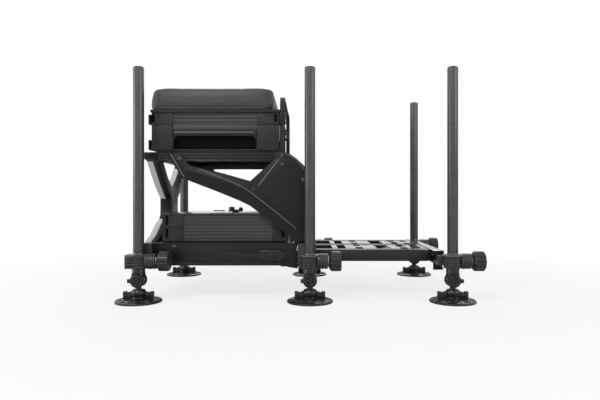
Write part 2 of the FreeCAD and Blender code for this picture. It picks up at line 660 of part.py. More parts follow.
# Ribbed tray open at the top, and the corner skins that wrap it
def rib_grooves(name, x, half_y, z, corner_reaches, count):
    depth = size("groove_depth")
    pitch = (z[1] - z[0]) / count
    along_x = (x[0] + corner_reaches[0], x[1] - corner_reaches[1])
    along_y = (-half_y + size("corner_wrap"), half_y - size("corner_wrap"))
    tools = []
    for number in range(count):
        middle = z[0] + pitch * (number + half)
        band = (middle - pitch * GROOVE_SHARE, middle + pitch * GROOVE_SHARE)
        tools.append(box("%s_rib_right_%d" % (name, number), along_x, (-half_y - past, -half_y + depth), band))
        tools.append(box("%s_rib_left_%d" % (name, number), along_x, (half_y - depth, half_y + past), band))
        tools.append(box("%s_rib_rear_%d" % (name, number), (x[0] - past, x[0] + depth), along_y, band))
        tools.append(box("%s_rib_front_%d" % (name, number), (x[1] - depth, x[1] + past), along_y, band))
    return tools


def tray(name, x, half_y, z, base_height, corner_reaches, rib_count):
    wall = size("tray_wall")
    outer = box(name + "_outer", x, (-half_y, half_y), z)
    solids = [outer]
    if base_height is not None:
        inset = size("cassette_base_inset")
        solids.append(box(name + "_base", (x[0] + inset, x[1] - inset), (-half_y + inset, half_y - inset),
                          (z[0] - base_height, z[0])))
    hollow = box(name + "_hollow", (x[0] + wall, x[1] - wall), (-half_y + wall, half_y - wall),
                 (z[0] + wall, z[1] + past))
    shape = fuse(name + "_shape", solids) if len(solids) > 1 else outer
    return cut(name, shape, [hollow] + rib_grooves(name, x, half_y, z, corner_reaches, rib_count))


def corner_skins(name, x, half_y, z, corner_reaches, bosses=()):
    skin = size("corner_skin")
    skins = []
    for end_name, end, reach in (("rear", REAR, corner_reaches[0]), ("front", FRONT, corner_reaches[1])):
        for side_name, side in SIDES:
            key = "%s_%s_%s" % (name, end_name, side_name)
            ends = (x[0] - skin, x[0] + reach) if end == REAR else (x[1] - reach, x[1] + skin)
            block = box(key + "_block", ends, span(half_y - size("corner_wrap"), half_y + skin, side), z)
            room = box(key + "_room", x, (-half_y, half_y), (z[0] - past, z[1] + past))
            pieces = [block]
            for low, high in bosses:
                clip_depth = size("clip_depth")
                boss_x = (ends[0] - clip_depth, ends[0]) if end == REAR else (ends[1], ends[1] + clip_depth)
                clip_y = span(half_y - size("corner_wrap") + size("clip_inner_inset"),
                              half_y - size("clip_outer_inset"), side)
                pieces.append(box("%s_boss_%.0f" % (key, low.amount), boss_x, clip_y, (low, high)))
            shape = fuse(key + "_shape", pieces) if len(pieces) > 1 else block
            skins.append(cut(key, shape, [room]))
    return skins


skin = size("corner_skin")
cassette_x = (cassette_rear + skin, cassette_front - skin)
cassette_half = size("cassette_width") * half - skin
lower_z = (chassis_top + size("cassette_base"), chassis_top + size("cassette_base") + size("lower_tray_height"))
middle_z = (lower_z[1], lower_z[1] + size("middle_tray_height"))
tray_reaches = (size("tray_corner_reach") - skin, size("front_corner_reach") - skin)
finish_node("lower_tray", tray("lower", cassette_x, cassette_half, lower_z, size("cassette_base"),
                               tray_reaches, 4))
seam = size("seam")
finish_node("cassette_corners", group("cassette_corner_group",
            corner_skins("lower_corner", cassette_x, cassette_half, (lower_z[0], lower_z[1] - seam),
                         tray_reaches)
            + corner_skins("middle_corner", cassette_x, cassette_half, (middle_z[0] + seam, middle_z[1]),
                           tray_reaches)))

lid_bottom = middle_z[1] + slip
lid_top = lid_bottom + size("lid_thickness")
lid_half = size("cassette_width") * half

# The lid's two hinges on the far edge: a barrel on the lid turns on a pin between two ears of the tray
lid_axis_y = lid_half + slip + size("lid_hinge_barrel") * half
lid_axis_z = lid_bottom + size("lid_thickness") * half
ear_length = size("lid_hinge_length") * half * half
lid_parts = [box("lid_plate", (cassette_x[0] - skin, cassette_x[1] + skin), (-lid_half, lid_half),
                 (lid_bottom, lid_top))]
lid_bores = []
tray_ears = []
for end_name, end in (("rear", REAR), ("front", FRONT)):
    middle_x = (cassette_x[0] + cassette_x[1]) * half + size("lid_hinge_spread") * half * end
    start_x = middle_x - size("lid_hinge_length") * half
    barrel_x = (start_x + ear_length + slip, start_x + size("lid_hinge_length") - ear_length - slip)
    lid_parts.append(rod("lid_barrel_" + end_name, (barrel_x[0], lid_axis_y, lid_axis_z),
                         size("lid_hinge_barrel"), barrel_x[1] - barrel_x[0], ALONG_X))
    lid_parts.append(box("lid_web_" + end_name, barrel_x, (lid_half - past, lid_axis_y),
                         (lid_bottom, lid_top)))
    lid_bores.append(rod("lid_bore_" + end_name, (start_x, lid_axis_y, lid_axis_z),
                         size("lid_hinge_pin") + size("pin_clearance") * 2, size("lid_hinge_length"), ALONG_X))
    tray_ears.append(rod("tray_pin_" + end_name, (start_x, lid_axis_y, lid_axis_z), size("lid_hinge_pin"),
                         size("lid_hinge_length"), ALONG_X))
    for number, ear_x in enumerate((start_x, start_x + size("lid_hinge_length") - ear_length)):
        key = "tray_ear_%s_%d" % (end_name, number)
        tray_ears.append(rod(key + "_eye", (ear_x, lid_axis_y, lid_axis_z), size("lid_hinge_barrel"),
                             ear_length, ALONG_X))
        tray_ears.append(box(key + "_foot", (ear_x, ear_x + ear_length), (cassette_half - past, lid_axis_y),
                             (middle_z[1] - size("lid_hinge_ear"), middle_z[1])))
finish_node("cassette_lid", cut("lid", fuse("lid_shape", lid_parts), lid_bores))
middle_shape = tray("middle", cassette_x, cassette_half, middle_z, None, tray_reaches, 4)
finish_node("middle_tray", fuse("middle_with_ears", [middle_shape] + tray_ears))
catch_x = (cassette_x[0] + cassette_x[1]) * half + size("catch_lead")
catch_y = -lid_half + size("catch_setback")
catch_half = size("catch_length") * half
wing_half = size("catch_wing_width") * half
catch_hub = rod("catch_hub", (catch_x, catch_y, lid_top), size("catch_width"), size("catch_height"))
catch_wing = box("catch_wing", (catch_x - catch_half, catch_x + catch_half),
                 (catch_y - wing_half, catch_y + wing_half), (lid_top, lid_top + size("catch_wing_height")))
finish_node("lid_catch", fuse("catch", [catch_hub, catch_wing]))

# Drawer unit: a casing with a tunnel for two drawers, one from each side
unit_x = (unit_rear + skin, unit_front - skin)
unit_half = size("unit_width") * half - skin
casing_z = (seat_rail_top + size("unit_base"), seat_rail_top + size("unit_base") + size("casing_height"))
tray_z = (casing_z[1], casing_z[1] + size("upper_tray_height"))
drawer_front_x = unit_front - size("drawer_margin")
window_x = (drawer_front_x - size("drawer_length"), drawer_front_x)
window_z = (casing_z[0] + size("casing_wall"), casing_z[0] + size("casing_wall") + size("drawer_height"))
unit_reaches = (window_x[0] - unit_x[0], unit_x[1] - window_x[1])
casing_outer = box("casing_outer", unit_x, (-unit_half, unit_half), casing_z)
base_inset = size("unit_base_inset")
casing_foot = box("casing_foot", (unit_x[0] + base_inset, unit_x[1] - base_inset),
                  (-unit_half + base_inset, unit_half - base_inset), (seat_rail_top, casing_z[0]))
partition = size("casing_wall") * half
tunnels = [box("tunnel_" + side_name, window_x, span(partition, unit_half + past, side), window_z)
           for side_name, side in SIDES]
end_pockets = []
for end_name, ends in (("rear", (unit_x[0] + size("casing_wall"), window_x[0] - size("casing_wall"))),
                       ("front", (window_x[1] + size("casing_wall"), unit_x[1] - size("casing_wall")))):
    end_pockets.append(box("end_pocket_" + end_name, ends,
                           (-unit_half + size("casing_wall"), unit_half - size("casing_wall")), window_z))
roof_pocket = box("roof_pocket", (unit_x[0] + size("casing_wall"), unit_x[1] - size("casing_wall")),
                  (-unit_half + size("casing_wall"), unit_half - size("casing_wall")),
                  (window_z[1] + size("casing_wall"), casing_z[1] + past))
finish_node("drawer_casing", cut("casing", fuse("casing_shape", [casing_outer, casing_foot]),
                                 tunnels + end_pockets + [roof_pocket]))
board_x = (unit_rear - size("board_overhang"), unit_front + size("board_lead"))
lug_thickness = size("latch_lug_thickness")
lug_reach = size("latch_lug_reach")
latch_pivot_x = board_x[1] + slip + size("latch_thickness") * half
latch_pivot_z = tray_z[0] + size("latch_rise")
latch_half = size("latch_width") * half
latch_pin_size = size("latch_pin")
upper_shape = tray("upper", unit_x, unit_half, tray_z, None, unit_reaches, 3)
lugs = []
lug_bores = []
for side_name, side in SIDES:
    lug_y = span(latch_half + slip, latch_half + slip + lug_thickness, side)
    lugs.append(box("latch_lug_" + side_name, (unit_x[1] - size("tray_wall") * half, latch_pivot_x + lug_reach),
                    lug_y, (latch_pivot_z - lug_reach, latch_pivot_z + lug_reach)))
    lug_bores.append(rod("latch_lug_bore_" + side_name, (latch_pivot_x, lug_y[0] - past, latch_pivot_z),
                         latch_pin_size + size("pin_clearance") * 2, lug_thickness + past * 2, ALONG_Y))
finish_node("upper_tray", cut("upper_with_lugs", fuse("upper_lugs", [upper_shape] + lugs), lug_bores))
clip_bottom = casing_z[0] + size("clip_rise")
finish_node("seat_unit_corners", group("unit_corner_group",
            corner_skins("casing_corner", unit_x, unit_half, (casing_z[0], casing_z[1] - seam), unit_reaches,
                         [(clip_bottom, clip_bottom + size("clip_height"))])
            + corner_skins("upper_corner", unit_x, unit_half, (tray_z[0] + seam, tray_z[1]), unit_reaches)))


def drawer(name, side):
    gap = size("drawer_clearance")
    wall = size("drawer_wall")
    x = (window_x[0] + gap, window_x[1] - gap)
    z = (window_z[0] + slip, window_z[1] - gap)
    mouth_y = unit_half + skin - size("drawer_recess")
    front_y = mouth_y - size("lip_depth")
    back_y = front_y - size("drawer_depth")
    case = box(name + "_case", x, span(back_y, front_y, side), (z[0], z[1] - size("lip_height") * half))
    lip = box(name + "_lip", x, span(front_y - wall, mouth_y, side), (z[1] - size("lip_height"), z[1]))
    hollow = box(name + "_hollow", (x[0] + wall, x[1] - wall), span(back_y + wall, front_y - wall, side),
                 (z[0] + wall, z[1] + past))
    lip_room = box(name + "_lip_room", (x[0] + size("lip_end"), x[1] - size("lip_end")),
                   span(front_y, mouth_y - size("lip_wall"), side),
                   (z[1] - size("lip_height") - past, z[1] - size("lip_wall")))
    return cut(name, fuse(name + "_shape", [case, lip]), [hollow, lip_room])


for side_name, side in SIDES:
    finish_node("drawer_" + side_name, drawer("drawer_body_" + side_name, side))

# Seat board with its hinge barrels, and the cushion on it
board_bottom = tray_z[1] + slip
board_top = board_bottom + size("board_thickness")
board_half = size("unit_width") * half + size("board_overhang")
barrel_radius = size("hinge_barrel") * half
hinge_x = board_x[0] - barrel_radius
hinge_z = board_bottom + size("board_thickness") * half
board_plate = box("board_plate", board_x, (-board_half, board_half), (board_bottom, board_top))
hinge_third = size("hinge_length") / 3
board_parts = [board_plate]
board_bores = []
leaves = []
for side_name, side in SIDES:
    hinge_y = size("hinge_spread") * half * side
    start_y = hinge_y - size("hinge_length") * half
    for number in range(3):
        low_y = start_y + hinge_third * number
        barrel = rod("barrel_%s_%d" % (side_name, number), (hinge_x, low_y + slip * half, hinge_z),
                     size("hinge_barrel"), hinge_third - slip, ALONG_Y)
        web_y = (low_y + slip * half, low_y + hinge_third - slip * half)
        if number == 1:
            leaf = box("leaf_" + side_name, (hinge_x - barrel_radius * half, unit_rear), web_y,
                       (tray_z[0] + size("hinge_leaf_rise"), board_bottom - slip))
            reach_up = box("leaf_neck_" + side_name, (hinge_x - barrel_radius * half, hinge_x + past), web_y,
                           (board_bottom - slip * 2, hinge_z))
            pin_hole = rod("leaf_bore_" + side_name, (hinge_x, low_y - past, hinge_z), size("hinge_pin"),
                           hinge_third + past * 2, ALONG_Y)
            leaves.append(cut("hinge_leaf_" + side_name, fuse("leaf_shape_" + side_name,
                                                              [leaf, reach_up, barrel]), [pin_hole]))
        else:
            board_parts += [barrel, box("barrel_web_%s_%d" % (side_name, number),
                                        (hinge_x, board_x[0] + past), web_y, (hinge_z, board_top))]
    board_bores.append(rod("board_bore_" + side_name, (hinge_x, start_y - past, hinge_z),
                           size("hinge_pin") + size("pin_clearance") * 2, size("hinge_length") + past * 2,
                           ALONG_Y))
    leaves.append(rod("hinge_pin_" + side_name, (hinge_x, start_y, hinge_z), size("hinge_pin"),
                      size("hinge_length"), ALONG_Y))
leaf_room = []
for side_name, side in SIDES:
    hinge_y = size("hinge_spread") * half * side
    room_half = hinge_third * half + past
    leaf_room.append(box("leaf_room_" + side_name, (board_x[0] - past, board_x[0] + past * 2),
                         (hinge_y - room_half, hinge_y + room_half), (board_bottom - past, board_top + past)))
finish_node("seat_board", cut("board", fuse("board_shape", board_parts), board_bores + leaf_room))
finish_node("seat_hinge", group("seat_hinge_group", leaves))


# Cushion: rounded sections that swell above the board, draw in towards the top and end in a low crown
def rounded_section(x0, x1, half_y, z, radius):
    corners = ((x1 - radius, half_y - radius, 0), (x0 + radius, half_y - radius, 90),
               (x0 + radius, -half_y + radius, 180), (x1 - radius, -half_y + radius, 270))
    edges = []
    points = []
    for x, y, start in corners:
        arc_points = []
        for turn in (0, 45, 90):
            angle = math.radians(start + turn)
            arc_points.append(FreeCAD.Vector(x + radius * math.cos(angle), y + radius * math.sin(angle), z))
        points.append(arc_points)
    for number, arc_points in enumerate(points):
        edges.append(Part.Arc(*arc_points).toShape())
        edges.append(Part.LineSegment(arc_points[2], points[(number + 1) % 4][0]).toShape())
    return Part.Wire(edges)


# Share of the way up the sides or the crown, then how far the rear and the other sides draw in there
SIDE_LEVELS = ((0, 5, 5), (0.085, 1, 1), (0.24, 0, 0), (0.49, 3, 2), (0.76, 8, 3), (0.88, 12, 5),
               (0.965, 16, 9), (1, 24, 18))
CROWN_LEVELS = ((0.45, 50, 42), (0.8, 92, 82), (1, 140, 130))


def cushion():
    rear = (unit_rear + size("cushion_rear_inset")).amount
    front = (unit_front - size("cushion_front_inset")).amount
    half_y = (size("unit_width") * half - size("cushion_side_inset")).amount
    shoulder = (board_top + size("cushion_height") - size("cushion_crown")).amount
    side_height = shoulder - board_top.amount
    levels = []
    for share, rear_in, side_in in SIDE_LEVELS:
        levels.append((board_top.amount + side_height * share, rear_in, side_in))
    for share, rear_in, side_in in CROWN_LEVELS:
        levels.append((shoulder + size("cushion_crown").amount * share, rear_in, side_in))
    sections = []
    for z, rear_in, side_in in levels:
        sections.append(rounded_section(rear + rear_in, front - side_in, half_y - side_in, z,
                                        size("cushion_edge").amount))
    shape = Part.makeLoft(sections, True, True)
    item = doc.addObject("Part::Feature", "cushion")
    item.Shape = shape
    return item


finish_node("seat_cushion", cushion())

# Latch on the front of the upper tray, standing in front of the board's edge
plate_half = size("latch_thickness") * half
latch_top = latch_pivot_z + size("latch_height")
latch_plate = box("latch_plate", (latch_pivot_x - plate_half, latch_pivot_x + plate_half),
                  (-latch_half, latch_half), (latch_pivot_z - size("latch_tail"), latch_top))
grip_half = latch_half - size("latch_grip_inset")
grip_top = latch_top - size("latch_grip_drop")
latch_grip = box("latch_grip", (latch_pivot_x, latch_pivot_x + plate_half + size("latch_grip_depth")),
                 (-grip_half, grip_half), (grip_top - size("latch_grip_height"), grip_top))
latch_pin = rod("latch_pin", (latch_pivot_x, -latch_half - lug_thickness - slip, latch_pivot_z), latch_pin_size,
                latch_half * 2 + (lug_thickness + slip) * 2, ALONG_Y)
finish_node("seat_latch", fuse("latch", [latch_plate, latch_grip, latch_pin]))

# Footplate: rails with round-ended caps, a slotted deck and a front beam
footplate_rear = rail_front - size("footplate_overlap")
cap_front = front_leg_x - size("footplate_set_back")
cap_rear = cap_front - size("footplate_cap_length")
footplate_inner = footplate_half - size("footplate_rail_width")
cap_round = size("footplate_rail_height")
nose_x = cap_front - cap_round * half
footplate_solids = []
for side_name, side in SIDES:
    rail_y = span(footplate_inner, footplate_half, side)
    bar = box("slide_bar_" + side_name, (footplate_rear, cap_rear), rail_y, (footplate_bottom, footplate_top))
    wall = size("rail_wall")
    hollow = box("slide_hollow_" + side_name, (footplate_rear - past, cap_rear + past),
                 span(footplate_inner + wall, footplate_half - wall, side),
                 (footplate_bottom + wall, footplate_top - wall))
    footplate_solids.append(cut("slide_rail_" + side_name, bar, [hollow]))
    cap_body = box("cap_body_" + side_name, (cap_rear, nose_x), rail_y, (footplate_bottom, footplate_top))
    cap_nose = rod("cap_nose_" + side_name, (nose_x, rail_y[0], footplate_bottom + cap_round * half),
                   cap_round, size("footplate_rail_width"), ALONG_Y)
    stub_y = (rail_y[0] + rail_y[1]) * half
    stub = rod("stub_" + side_name, (nose_x, stub_y, clamp_middle), size("stub_diameter"),
               front_beam_rear - nose_x, ALONG_X)
    footplate_solids.append(fuse("slide_cap_" + side_name, [cap_body, cap_nose, stub]))
    bolt_y = rail_y[0] - size("screw_head_height") if side == RIGHT else rail_y[1]
    bolt_x = cap_rear - size("slide_bolt_setback")
    bolt_z = (footplate_bottom + footplate_top) * half
    footplate_solids.append(rod("slide_bolt_" + side_name, (bolt_x, bolt_y, bolt_z), size("screw_head"),
                                size("screw_head_height"), ALONG_Y))
finish_node("footplate_rails", group("footplate_rail_group", footplate_solids))

# Deck slots: centre back from the deck's front, length along X, and their inner and outer edges across
DECK_SLOTS = ((24, 22, 26, 60), (24, 22, 104, 150), (66, 24, 20, 90), (66, 24, 112, 160),
              (128, 42, 28, 150), (203, 22, 20, 62), (203, 22, 104, 158), (256, 26, 28, 150),
              (310, 50, 28, 150), (372, 22, 28, 150))
# Front edges of the ribs under the deck, back from the deck's front
DECK_RIBS = (0, 94, 164, 229, 346)
deck_front = cap_front - size("deck_front_margin")
deck_rear = footplate_rear + size("deck_rear_margin")
deck_loops = [[(deck_rear, -footplate_inner), (deck_front, -footplate_inner), (deck_front, footplate_inner),
               (deck_rear, footplate_inner)]]
for back, length, inner_edge, outer_edge in DECK_SLOTS:
    for side_name, side in SIDES:
        slot_x = (deck_front - back - length * half, deck_front - back + length * half)
        slot_y = span(inner_edge, outer_edge, side)
        deck_loops.append([(slot_x[0], slot_y[0]), (slot_x[1], slot_y[0]), (slot_x[1], slot_y[1]),
                           (slot_x[0], slot_y[1])])
rib_top = footplate_top - size("deck_thickness")
deck_plate = padded("deck_plate", "XY_Plane", deck_loops, size("deck_thickness"),
                    (0, 0, rib_top))
deck_ribs = []
rib_z = (rib_top - size("deck_rib_height"), rib_top)
for number, back in enumerate(DECK_RIBS):
    rib_front = deck_front - back
    deck_ribs.append(box("deck_rib_%d" % number, (rib_front - size("deck_rib_width"), rib_front),
                         (-footplate_inner, footplate_inner), rib_z))
deck_ribs.append(box("deck_rib_rear", (deck_rear, deck_rear + size("deck_rib_width")),
                     (-footplate_inner, footplate_inner), rib_z))
finish_node("footplate_deck", fuse("deck", [deck_plate] + deck_ribs))

flare_body = box("flare_body", (cap_front + slip, front_beam_front), (-front_beam_half, front_beam_half),
                 (front_beam_top, footplate_top))
beam_tube = tube_across("footplate_beam_tube", (front_beam_rear, front_beam_front),
                        (front_beam_bottom, front_beam_top), front_beam_half, beam_wall)
gussets = []
gusset_bottom = front_beam_bottom - size("gusset_depth")
gusset_outline = [(front_beam_rear, front_beam_bottom + past), (front_beam_rear, gusset_bottom),
                  (front_beam_front + size("gusset_lead"), gusset_bottom),
                  (front_beam_front, front_beam_bottom + past)]
gusset_inner = footplate_half - size("footplate_rail_width") * half + size("gusset_offset")
for side_name, side in SIDES:
    gusset_y = -gusset_inner if side == RIGHT else gusset_inner + size("gusset_thickness")
    gussets.append(padded("gusset_" + side_name, "XZ_Plane", [gusset_outline], size("gusset_thickness"),
                          (0, gusset_y, 0)))
finish_node("footplate_front_beam", fuse("footplate_beam", [beam_tube, flare_body] + gussets))


# Oval locks on the chassis rails: a bolt through the rail bears on the footplate's rail
def footplate_lock(name, side):
    radius = size("lock_height") * half
    shift = size("lock_length") * half - radius
    face = chassis_half + slip
    wing_y = span(face, face + size("lock_thickness"), side)
    hub_y = span(face, face + size("lock_hub_height"), side)
    bolt_y = span(footplate_half + slip, face, side)
    pieces = [box(name + "_wing", (lock_x - shift, lock_x + shift), wing_y, (lock_z - radius, lock_z + radius))]
    for end_name, end in (("rear", REAR), ("front", FRONT)):
        pieces.append(rod("%s_%s_end" % (name, end_name), (lock_x + shift * end, wing_y[0], lock_z),
                          size("lock_height"), size("lock_thickness"), ALONG_Y))
    pieces.append(rod(name + "_hub", (lock_x, hub_y[0], lock_z), size("lock_hub_diameter"),
                      size("lock_hub_height"), ALONG_Y))
    pieces.append(rod(name + "_bolt", (lock_x, bolt_y[0], lock_z), size("lock_bolt"), bolt_y[1] - bolt_y[0],
                      ALONG_Y))
    return fuse(name, pieces)


for side_name, side in SIDES:
    finish_node("footplate_lock_" + side_name, footplate_lock("lock_" + side_name, side))


# Carrying strap: an arch of webbing in front of the seat unit, with a slide buckle
strap_x = board_x[1] + slip
strap_bottom = seat_rail_top
strap_top = strap_bottom + size("strap_rise")
strap_half = size("strap_spread") * half
lean = size("strap_corner")
band = size("strap_thickness")
# The band's inner edge takes this share of its thickness off the corner, and each fold this share of a corner
CORNER_SHARE = 0.6
FOLD_SHARE = 0.3


# One side of the arch: up, then round the corner in two folds and in to the level top
def strap_edge(offset):
    reach = strap_half - offset
    top = strap_top - offset
    corner = lean - offset * CORNER_SHARE
    fold = corner * FOLD_SHARE
    return [(reach, strap_bottom), (reach, top - corner), (reach - fold, top - fold), (reach - corner, top)]


outer_edge = strap_edge(measure(0))
inner_edge = strap_edge(band)
arch = outer_edge + [(-y, z) for y, z in reversed(outer_edge)]
arch += [(-y, z) for y, z in inner_edge]
arch += list(reversed(inner_edge))
finish_node("shoulder_strap", padded("strap", "YZ_Plane", [arch], size("strap_width"), (strap_x, 0, 0)))
buckle_lap = size("buckle_lap")
buckle_z = strap_top - lean - size("buckle_height") - size("buckle_drop")
buckle_outer = box("buckle_outer", (strap_x - buckle_lap, strap_x + size("strap_width") + buckle_lap),
                   (-strap_half - buckle_lap, -strap_half - buckle_lap + size("buckle_thickness")),
                   (buckle_z, buckle_z + size("buckle_height")))
buckle_room = box("buckle_room", (strap_x - slip, strap_x + size("strap_width") + slip),
                  (-strap_half - slip, -strap_half + band + slip),
                  (buckle_z - past, buckle_z + size("buckle_height") + past))
finish_node("strap_buckle", cut("buckle", buckle_outer, [buckle_room]))

# Screw heads that hold the side panels to the seat rails and to the clamp brackets
screws = []
SCREW_PLACES = ((389, 243), (94, 226), (34, 182), (28, 24))
for side_name, side in SIDES:
    for number, (back, up) in enumerate(SCREW_PLACES):
        x, z = panel_corner(back, up)
        raised = size("panel_thickness") if number == 0 else size("panel_thickness") + size("panel_ridge")
        face = chassis_half + raised
        head_y = face if side == LEFT else -face - size("screw_head_height")
        screws.append(rod("screw_%s_%d" % (side_name, number), (x, head_y, z), size("screw_head"),
                          size("screw_head_height"), ALONG_Y))
finish_node("frame_screws", group("screw_group", screws))

doc.recompute()
for item in doc.Objects:
    if "Invalid" in item.State or "Error" in item.State:
        raise RuntimeError("%s did not build: %s" % (item.Name, item.State))
for label, item in nodes.items():
    if item.Shape.isNull() or not item.Shape.isValid() or not item.Shape.Solids:
        raise RuntimeError("%s has no valid solid" % label)

os.makedirs("parts", exist_ok=True)
for label, item in nodes.items():
    item.Shape.exportStep("parts/%s.step" % label)
bounds = FreeCAD.BoundBox()
for item in nodes.values():
    bounds.add(item.Shape.BoundBox)
print(len(nodes), "nodes, X %.1f to %.1f, Y %.1f to %.1f, Z %.1f to %.1f" % (
    bounds.XMin, bounds.XMax, bounds.YMin, bounds.YMax, bounds.ZMin, bounds.ZMax))
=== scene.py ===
import json
import math

import bmesh
import bpy
from mathutils import Matrix, Vector


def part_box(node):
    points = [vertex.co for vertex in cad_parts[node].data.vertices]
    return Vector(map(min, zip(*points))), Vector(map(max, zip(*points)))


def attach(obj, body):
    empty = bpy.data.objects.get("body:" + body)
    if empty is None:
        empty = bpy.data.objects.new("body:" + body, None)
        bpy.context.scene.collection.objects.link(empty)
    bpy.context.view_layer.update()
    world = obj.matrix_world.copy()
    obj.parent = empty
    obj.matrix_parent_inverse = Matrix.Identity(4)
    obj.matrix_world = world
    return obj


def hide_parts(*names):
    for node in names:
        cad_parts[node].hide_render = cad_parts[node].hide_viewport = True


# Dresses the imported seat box: finishes for every piece, and finer knobs, feet, clips, strap and cushion
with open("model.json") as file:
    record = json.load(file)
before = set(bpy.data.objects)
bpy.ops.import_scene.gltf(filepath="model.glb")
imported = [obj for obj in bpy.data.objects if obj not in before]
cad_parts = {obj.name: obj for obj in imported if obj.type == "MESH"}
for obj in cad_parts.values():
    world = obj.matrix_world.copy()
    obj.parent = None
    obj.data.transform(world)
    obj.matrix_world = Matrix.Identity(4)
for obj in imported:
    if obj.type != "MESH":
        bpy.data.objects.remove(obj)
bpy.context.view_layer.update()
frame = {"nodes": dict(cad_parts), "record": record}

MM = 0.001
BODY_OF = {node: body for body, nodes in frame["record"]["behaviour"]["bodies"].items() for node in nodes}
SLOT_OF = {part["node"]: part["material_slot"] for part in frame["record"]["subparts"]}
PLACES = [station + "_" + side for station in ("rear", "middle", "front") for side in ("right", "left")]
SIDES = (("right", -1), ("left", 1))


# Working by hand: deselect, open a mesh, pick by place, close it
def alone(piece=None):
    if bpy.context.object and bpy.context.object.mode != "OBJECT":
        bpy.ops.object.mode_set(mode="OBJECT")
    bpy.ops.object.select_all(action="DESELECT")
    if piece:
        piece.select_set(True)
        bpy.context.view_layer.objects.active = piece


def open_mesh(piece, kind="FACE"):
    alone(piece)
    bpy.ops.object.mode_set(mode="EDIT")
    bpy.ops.mesh.select_mode(type=kind)
    bpy.ops.mesh.select_all(action="DESELECT")


def pick_faces(piece, test):
    mesh = bmesh.from_edit_mesh(piece.data)
    for face in mesh.faces:
        face.select_set(bool(test(face.calc_center_median(), face.normal)))
    mesh.select_flush_mode()
    bmesh.update_edit_mesh(piece.data)


def pick_points(piece, test):
    mesh = bmesh.from_edit_mesh(piece.data)
    for point in mesh.verts:
        point.select_set(bool(test(point.co)))
    mesh.select_flush_mode()
    bmesh.update_edit_mesh(piece.data)


def close_mesh(outwards=True):
    if outwards:
        bpy.ops.mesh.select_all(action="SELECT")
        bpy.ops.mesh.normals_make_consistent(inside=False)
    bpy.ops.object.mode_set(mode="OBJECT")


# Moves the points of a mesh that pass a test
def move_points(piece, test, way):
    open_mesh(piece, "VERT")
    pick_points(piece, test)
    bpy.ops.transform.translate(value=way)
    close_mesh()


def settle(piece, name, smooth=32):
    alone(piece)
    piece.name = name
    bpy.ops.object.transform_apply(location=True, rotation=True, scale=True)
    bpy.ops.object.shade_smooth_by_angle(angle=math.radians(smooth))
    return piece


def finish_with(piece, kind, **settings):
    alone(piece)
    modifier = piece.modifiers.new(kind.title(), kind)
    for setting, value in settings.items():
        setattr(modifier, setting, value)
    bpy.ops.object.modifier_apply(modifier=modifier.name)
    return piece


def join(name, pieces):
    alone(pieces[0])
    for piece in pieces:
        piece.select_set(True)
    bpy.ops.object.join()
    pieces[0].name = name
    return pieces[0]


def copy_to(piece, name, change):
    copy = piece.copy()
    copy.data = piece.data.copy()
    copy.name = name
    bpy.context.scene.collection.objects.link(copy)
    copy.data.transform(change)
    if change.determinant() < 0:
        copy.data.flip_normals()
    return copy


def remove(*pieces):
    for piece in pieces:
        bpy.data.objects.remove(piece)


# A turned piece on +Z: a disc is drawn out and resized along steps of (radius, height)
def turned(name, steps, sides=64):
    alone()
    radius, height = steps[0]
    bpy.ops.mesh.primitive_circle_add(vertices=sides, radius=radius, fill_type="NGON",
                                      location=(0, 0, height))
    piece = bpy.context.object
    bpy.ops.object.transform_apply(location=True, rotation=True, scale=True)
    bpy.ops.object.mode_set(mode="EDIT")
    bpy.ops.mesh.select_all(action="SELECT")
    for next_radius, next_height in steps[1:]:
        bpy.ops.mesh.extrude_region_move(TRANSFORM_OT_translate={"value": (0, 0, next_height - height)})
        share = next_radius / radius
        bpy.ops.transform.resize(value=(share, share, 1), center_override=(0, 0, next_height))
        radius, height = next_radius, next_height
    close_mesh()
    return settle(piece, name)


def block(name, low, high, edge, segments=2):
    alone()
    low, high = Vector(low), Vector(high)
    bpy.ops.mesh.primitive_cube_add(size=1, location=(low + high) / 2, scale=high - low)
    piece = bpy.context.object
    bpy.ops.object.transform_apply(location=True, rotation=True, scale=True)
    open_mesh(piece)
    bpy.ops.mesh.select_all(action="SELECT")
    bpy.ops.mesh.bevel(offset=edge, segments=segments, affect="EDGES")
    close_mesh()
    return settle(piece, name)


def ring(name, centre, radius, thickness, axis, sides=48):
    alone()
    turn = {"X": (0, math.pi / 2, 0), "Y": (math.pi / 2, 0, 0), "Z": (0, 0, 0)}[axis]
    bpy.ops.mesh.primitive_torus_add(major_segments=sides, minor_segments=10, major_radius=radius,
                                     minor_radius=thickness, location=centre, rotation=turn)
    return settle(bpy.context.object, name, 60)


# A round bead along a smooth line of points, such as a welt, a moulded ridge or a bent wire
def bead(name, points, radius, closed=False):
    alone()
    bpy.ops.curve.primitive_nurbs_path_add()
    line = bpy.context.object
    spline = line.data.splines[0]
    spline.points.add(len(points) - len(spline.points))
    for control, point in zip(spline.points, points):
        control.co = (*point, 1)
    spline.order_u = 3
    spline.use_endpoint_u = not closed
    spline.use_cyclic_u = closed
    spline.resolution_u = 4
    line.data.bevel_depth = radius
    line.data.bevel_resolution = 2
    line.data.use_fill_caps = not closed
    bpy.ops.object.convert(target="MESH")
    return settle(bpy.context.object, name, 60)


# A copy of a CAD node with its loose triangles merged, left open with everything selected
def merged_copy(node, name):
    piece = bpy.data.objects.new(name, frame["nodes"][node].data.copy())
    bpy.context.scene.collection.objects.link(piece)
    open_mesh(piece)
    bpy.ops.mesh.select_all(action="SELECT")
    bpy.ops.mesh.remove_doubles(threshold=0.02 * MM)
    return piece


